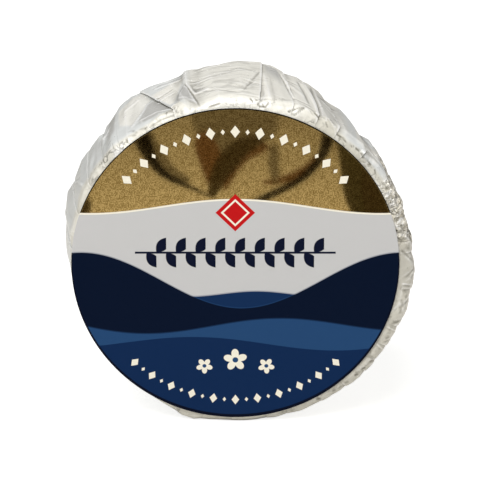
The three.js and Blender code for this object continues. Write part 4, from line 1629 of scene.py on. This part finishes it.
# %% Where the cards show on the label
# Each card: colour, height over the floor in millimetres, and its path on the label, as x, z and
# half width in millimetres.
CARDS = {
    "card_left": ("black", 1.2, [
        (-27.2, 39.5, 2.8), (-25.4, 36.3, 2.5), (-23.4, 31.7, 1.8), (-20.9, 27.8, 1.3),
        (-17.7, 25.1, 1.0), (-14.1, 23.3, 0.8), (-10.6, 21.6, 0.5), (-6, 19.6, 0.3),
    ]),
    "card_left_edge": ("olive", 0.6, [
        (-24, 38, 1.4), (-21.4, 32.6, 1.8), (-18.8, 28.8, 1.6), (-15.6, 26, 1.2), (-12, 24, 0.8),
    ]),
    "card_top": ("olive", 0.6, [(-5, 50, 9), (-0.5, 43, 11), (2.5, 38.5, 10.5), (4.5, 34, 6.5)]),
    "card_flame": ("dark", 1.8, [
        (-6.2, 19.5, 0.8), (-5.2, 22.5, 1.7), (-3.6, 26.3, 2.4), (-1.0, 30.2, 2.8), (2.4, 33.8, 2.4),
        (7.5, 36.2, 1.2),
    ]),
    "card_flame_left": ("brown", 1.2, [
        (-8.5, 38, 1.6), (-7.6, 34.6, 3), (-6.4, 31.2, 3.2), (-6.0, 27.3, 2.4), (-5.6, 22.5, 1.2),
    ]),
    "card_flame_right": ("brown", 1.2, [
        (-2.6, 22, 0.5), (-1.2, 25, 0.9), (0.9, 28.4, 1.0), (3.6, 31.2, 0.9), (6.4, 33, 1.1),
        (8.6, 34.6, 1.0),
    ]),
    "card_hook": ("black", 1.8, [
        (25.4, 41, 1.9), (24.6, 36.6, 1.7), (23.5, 33, 1.4), (21.8, 30, 1.2), (19.8, 27.8, 1.2),
        (17.6, 25.6, 1.1), (14.8, 23.7, 1.0), (11.4, 21.9, 1.0), (8.2, 20.2, 1.0), (5, 18.6, 1),
    ]),
    "card_hook_edge": ("brown", 1.2, [
        (21.8, 32, 0.7), (19.2, 28.8, 1.0), (15.6, 26.4, 1.1), (11.4, 24.8, 0.9), (7.2, 24.2, 0.5),
    ]),
    "card_corner": ("dark_olive", 0.6, [
        (28.7, 38.5, 2.4), (31.6, 32, 3.8), (34.2, 27, 6), (36.6, 21.5, 7), (39.2, 16.6, 7.5),
        (41, 10, 7.5),
    ]),
    "card_corner_core": ("dark", 1.2, [(36.5, 30, 2), (38.6, 24, 4.4), (40.6, 18, 5.4), (42.6, 11, 6)]),
    "card_small": ("olive", 1.2, [(10.4, 35, 1.2), (10.2, 29, 1.4), (10.8, 24, 0.8)]),
    "card_spot": ("dark", 0.6, [(-43.5, 21, 0.8), (-41.6, 18, 1.9), (-42, 14, 1.6)]),
}
print(len(CARDS), "cards, the longest path with", max(len(card[2]) for card in CARDS.values()), "knots")

# %% From the label to the floor
CARD_STEPS = 40


def smooth_path(knots):
    """Catmull-Rom curve through the knots, CARD_STEPS points in all, with every value blended by
    the same cubic."""
    knots = np.array(knots, float)
    padded = np.concatenate([2 * knots[:1] - knots[1:2], knots, 2 * knots[-1:] - knots[-2:-1]])
    along = np.linspace(0, len(knots) - 1 - 1e-6, CARD_STEPS)
    i, t = along.astype(int), (along % 1)[:, None]
    a, b, c, d = [padded[i + k] for k in range(4)]
    return 0.5 * (2 * b + (c - a) * t + (2 * a - 5 * b + 4 * c - d) * t**2 + (3 * b - a - 3 * c + d) * t**3)


def mirrored_on_floor(x, z, height):
    """Where the flat label at x, z mirrors the floor: on the line from the camera's mirror image
    through the label, at this height."""
    eye = np.array(camera.location) / MM
    label_y = wheel_centre[1] + LABEL_FACE_Y
    image = np.array([eye[0], 2 * label_y - eye[1], eye[2]])
    spot = np.stack([x + label_centre[0], np.full_like(x, label_y), z + label_centre[2]], -1)
    reach = (image[2] - height) / (image[2] - spot[:, 2])
    return (image + reach[:, None] * (spot - image)) * MM


top_mirrors = mirrored_on_floor(np.array([0.0]), np.array([LABEL_RADIUS]), 0.0)[0]
print("the label's top mirrors the floor", round(-float(top_mirrors[1]), 2), "m in front of the wheel")

# %% Cards on the table
CARD_COLOURS = {
    "black": srgb(24, 20, 14), "dark": srgb(74, 66, 50), "brown": srgb(116, 90, 68),
    "olive": srgb(126, 121, 112), "dark_olive": srgb(78, 74, 56),
}


def card_material(colour):
    """Matt card of one colour."""
    material, tree, shader = new_material("studio_card_" + colour)
    shader.inputs["Base Color"].default_value = CARD_COLOURS[colour]
    shader.inputs["Roughness"].default_value = 1.0
    shader.inputs["Specular IOR Level"].default_value = 0.0
    return material


def lay_card(name, material, height, knots):
    """A ribbon whose two sides are the path plus and minus its half width across it. It shows in
    mirrors only, so it neither lies in the picture nor takes light from the wheel."""
    path = smooth_path(knots)
    ahead = np.gradient(path[:, :2], axis=0)
    across = np.stack([-ahead[:, 1], ahead[:, 0]], -1) / np.linalg.norm(ahead, axis=1)[:, None]
    left, right = [path[:, :2] + side * across * path[:, 2:] for side in (1, -1)]
    corners = np.concatenate([mirrored_on_floor(*edge.T, height) for edge in (left, right)])
    number = np.arange(CARD_STEPS - 1)
    faces = np.stack([number, number + 1, number + 1 + CARD_STEPS, number + CARD_STEPS], -1).tolist()
    card = stage_object(name, corners, faces, material)
    card.visible_camera = card.visible_diffuse = card.visible_shadow = False


card_materials = {colour: card_material(colour) for colour in CARD_COLOURS}
for name, (colour, height, knots) in CARDS.items():
    lay_card(name, card_materials[colour], height, knots)
print(len(CARDS), "cards in front of the wheel")

# %% [markdown]
# ## Light
# One large soft panel above and in front gives the bright front margin, the grey side panels and
# the dim lower edge of the photograph. A small low panel at the right brightens the crumpled
# corner, a dim white world fills the shadows, and a low panel behind lights the back, which the
# photograph doesn't show. One bare lamp would be easier to place, but it would cast hard shadows
# and make every crease of the foil glare.

# %% Lights and world
KEY_PLACE = (-0.25, -0.55, 1.05)
KEY_SIZE = 0.7
KEY_POWER = 15.2
SIDE_PLACE = (0.75, -0.12, 0.1)
SIDE_SIZE = 0.18
SIDE_POWER = 0.92
BACK_PLACE = (0.0, 1.2, 0.06)
BACK_SIZE = 0.4
BACK_POWER = 5.0
# All panels face this place, near the wheel's middle.
PANEL_AIM = (0, 0, 0.05)
WORLD_COLOUR = srgb(243, 242, 239)
WORLD_STRENGTH = 0.3


def add_panel(name, place, aim, size, power):
    """A square area light that faces its aim and isn't seen by the camera."""
    data = bpy.data.lights.new(name, "AREA")
    data.size = size
    data.energy = power
    lamp = bpy.data.objects.new(name, data)
    lamp.location = place
    lamp.rotation_euler = (Vector(aim) - lamp.location).to_track_quat("-Z", "Y").to_euler()
    lamp.visible_camera = False
    bpy.context.scene.collection.objects.link(lamp)
    return lamp


add_panel("key", KEY_PLACE, PANEL_AIM, KEY_SIZE, KEY_POWER)
add_panel("side", SIDE_PLACE, PANEL_AIM, SIDE_SIZE, SIDE_POWER)
back = add_panel("back", BACK_PLACE, PANEL_AIM, BACK_SIZE, BACK_POWER)
back.visible_glossy = False
world = bpy.data.worlds.new("studio")
world.use_nodes = True
background = world.node_tree.nodes["Background"]
background.inputs["Color"].default_value = WORLD_COLOUR
background.inputs["Strength"].default_value = WORLD_STRENGTH
bpy.context.scene.world = world
bpy.context.scene.view_settings.view_transform = "Standard"
print("key panel", KEY_POWER, "W, side panel", SIDE_POWER, "W, back panel", BACK_POWER, "W")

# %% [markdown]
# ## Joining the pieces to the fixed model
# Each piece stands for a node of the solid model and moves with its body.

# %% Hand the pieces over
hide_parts("wrapper")
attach(wrapper, "root")
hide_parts("label")
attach(label, "root")
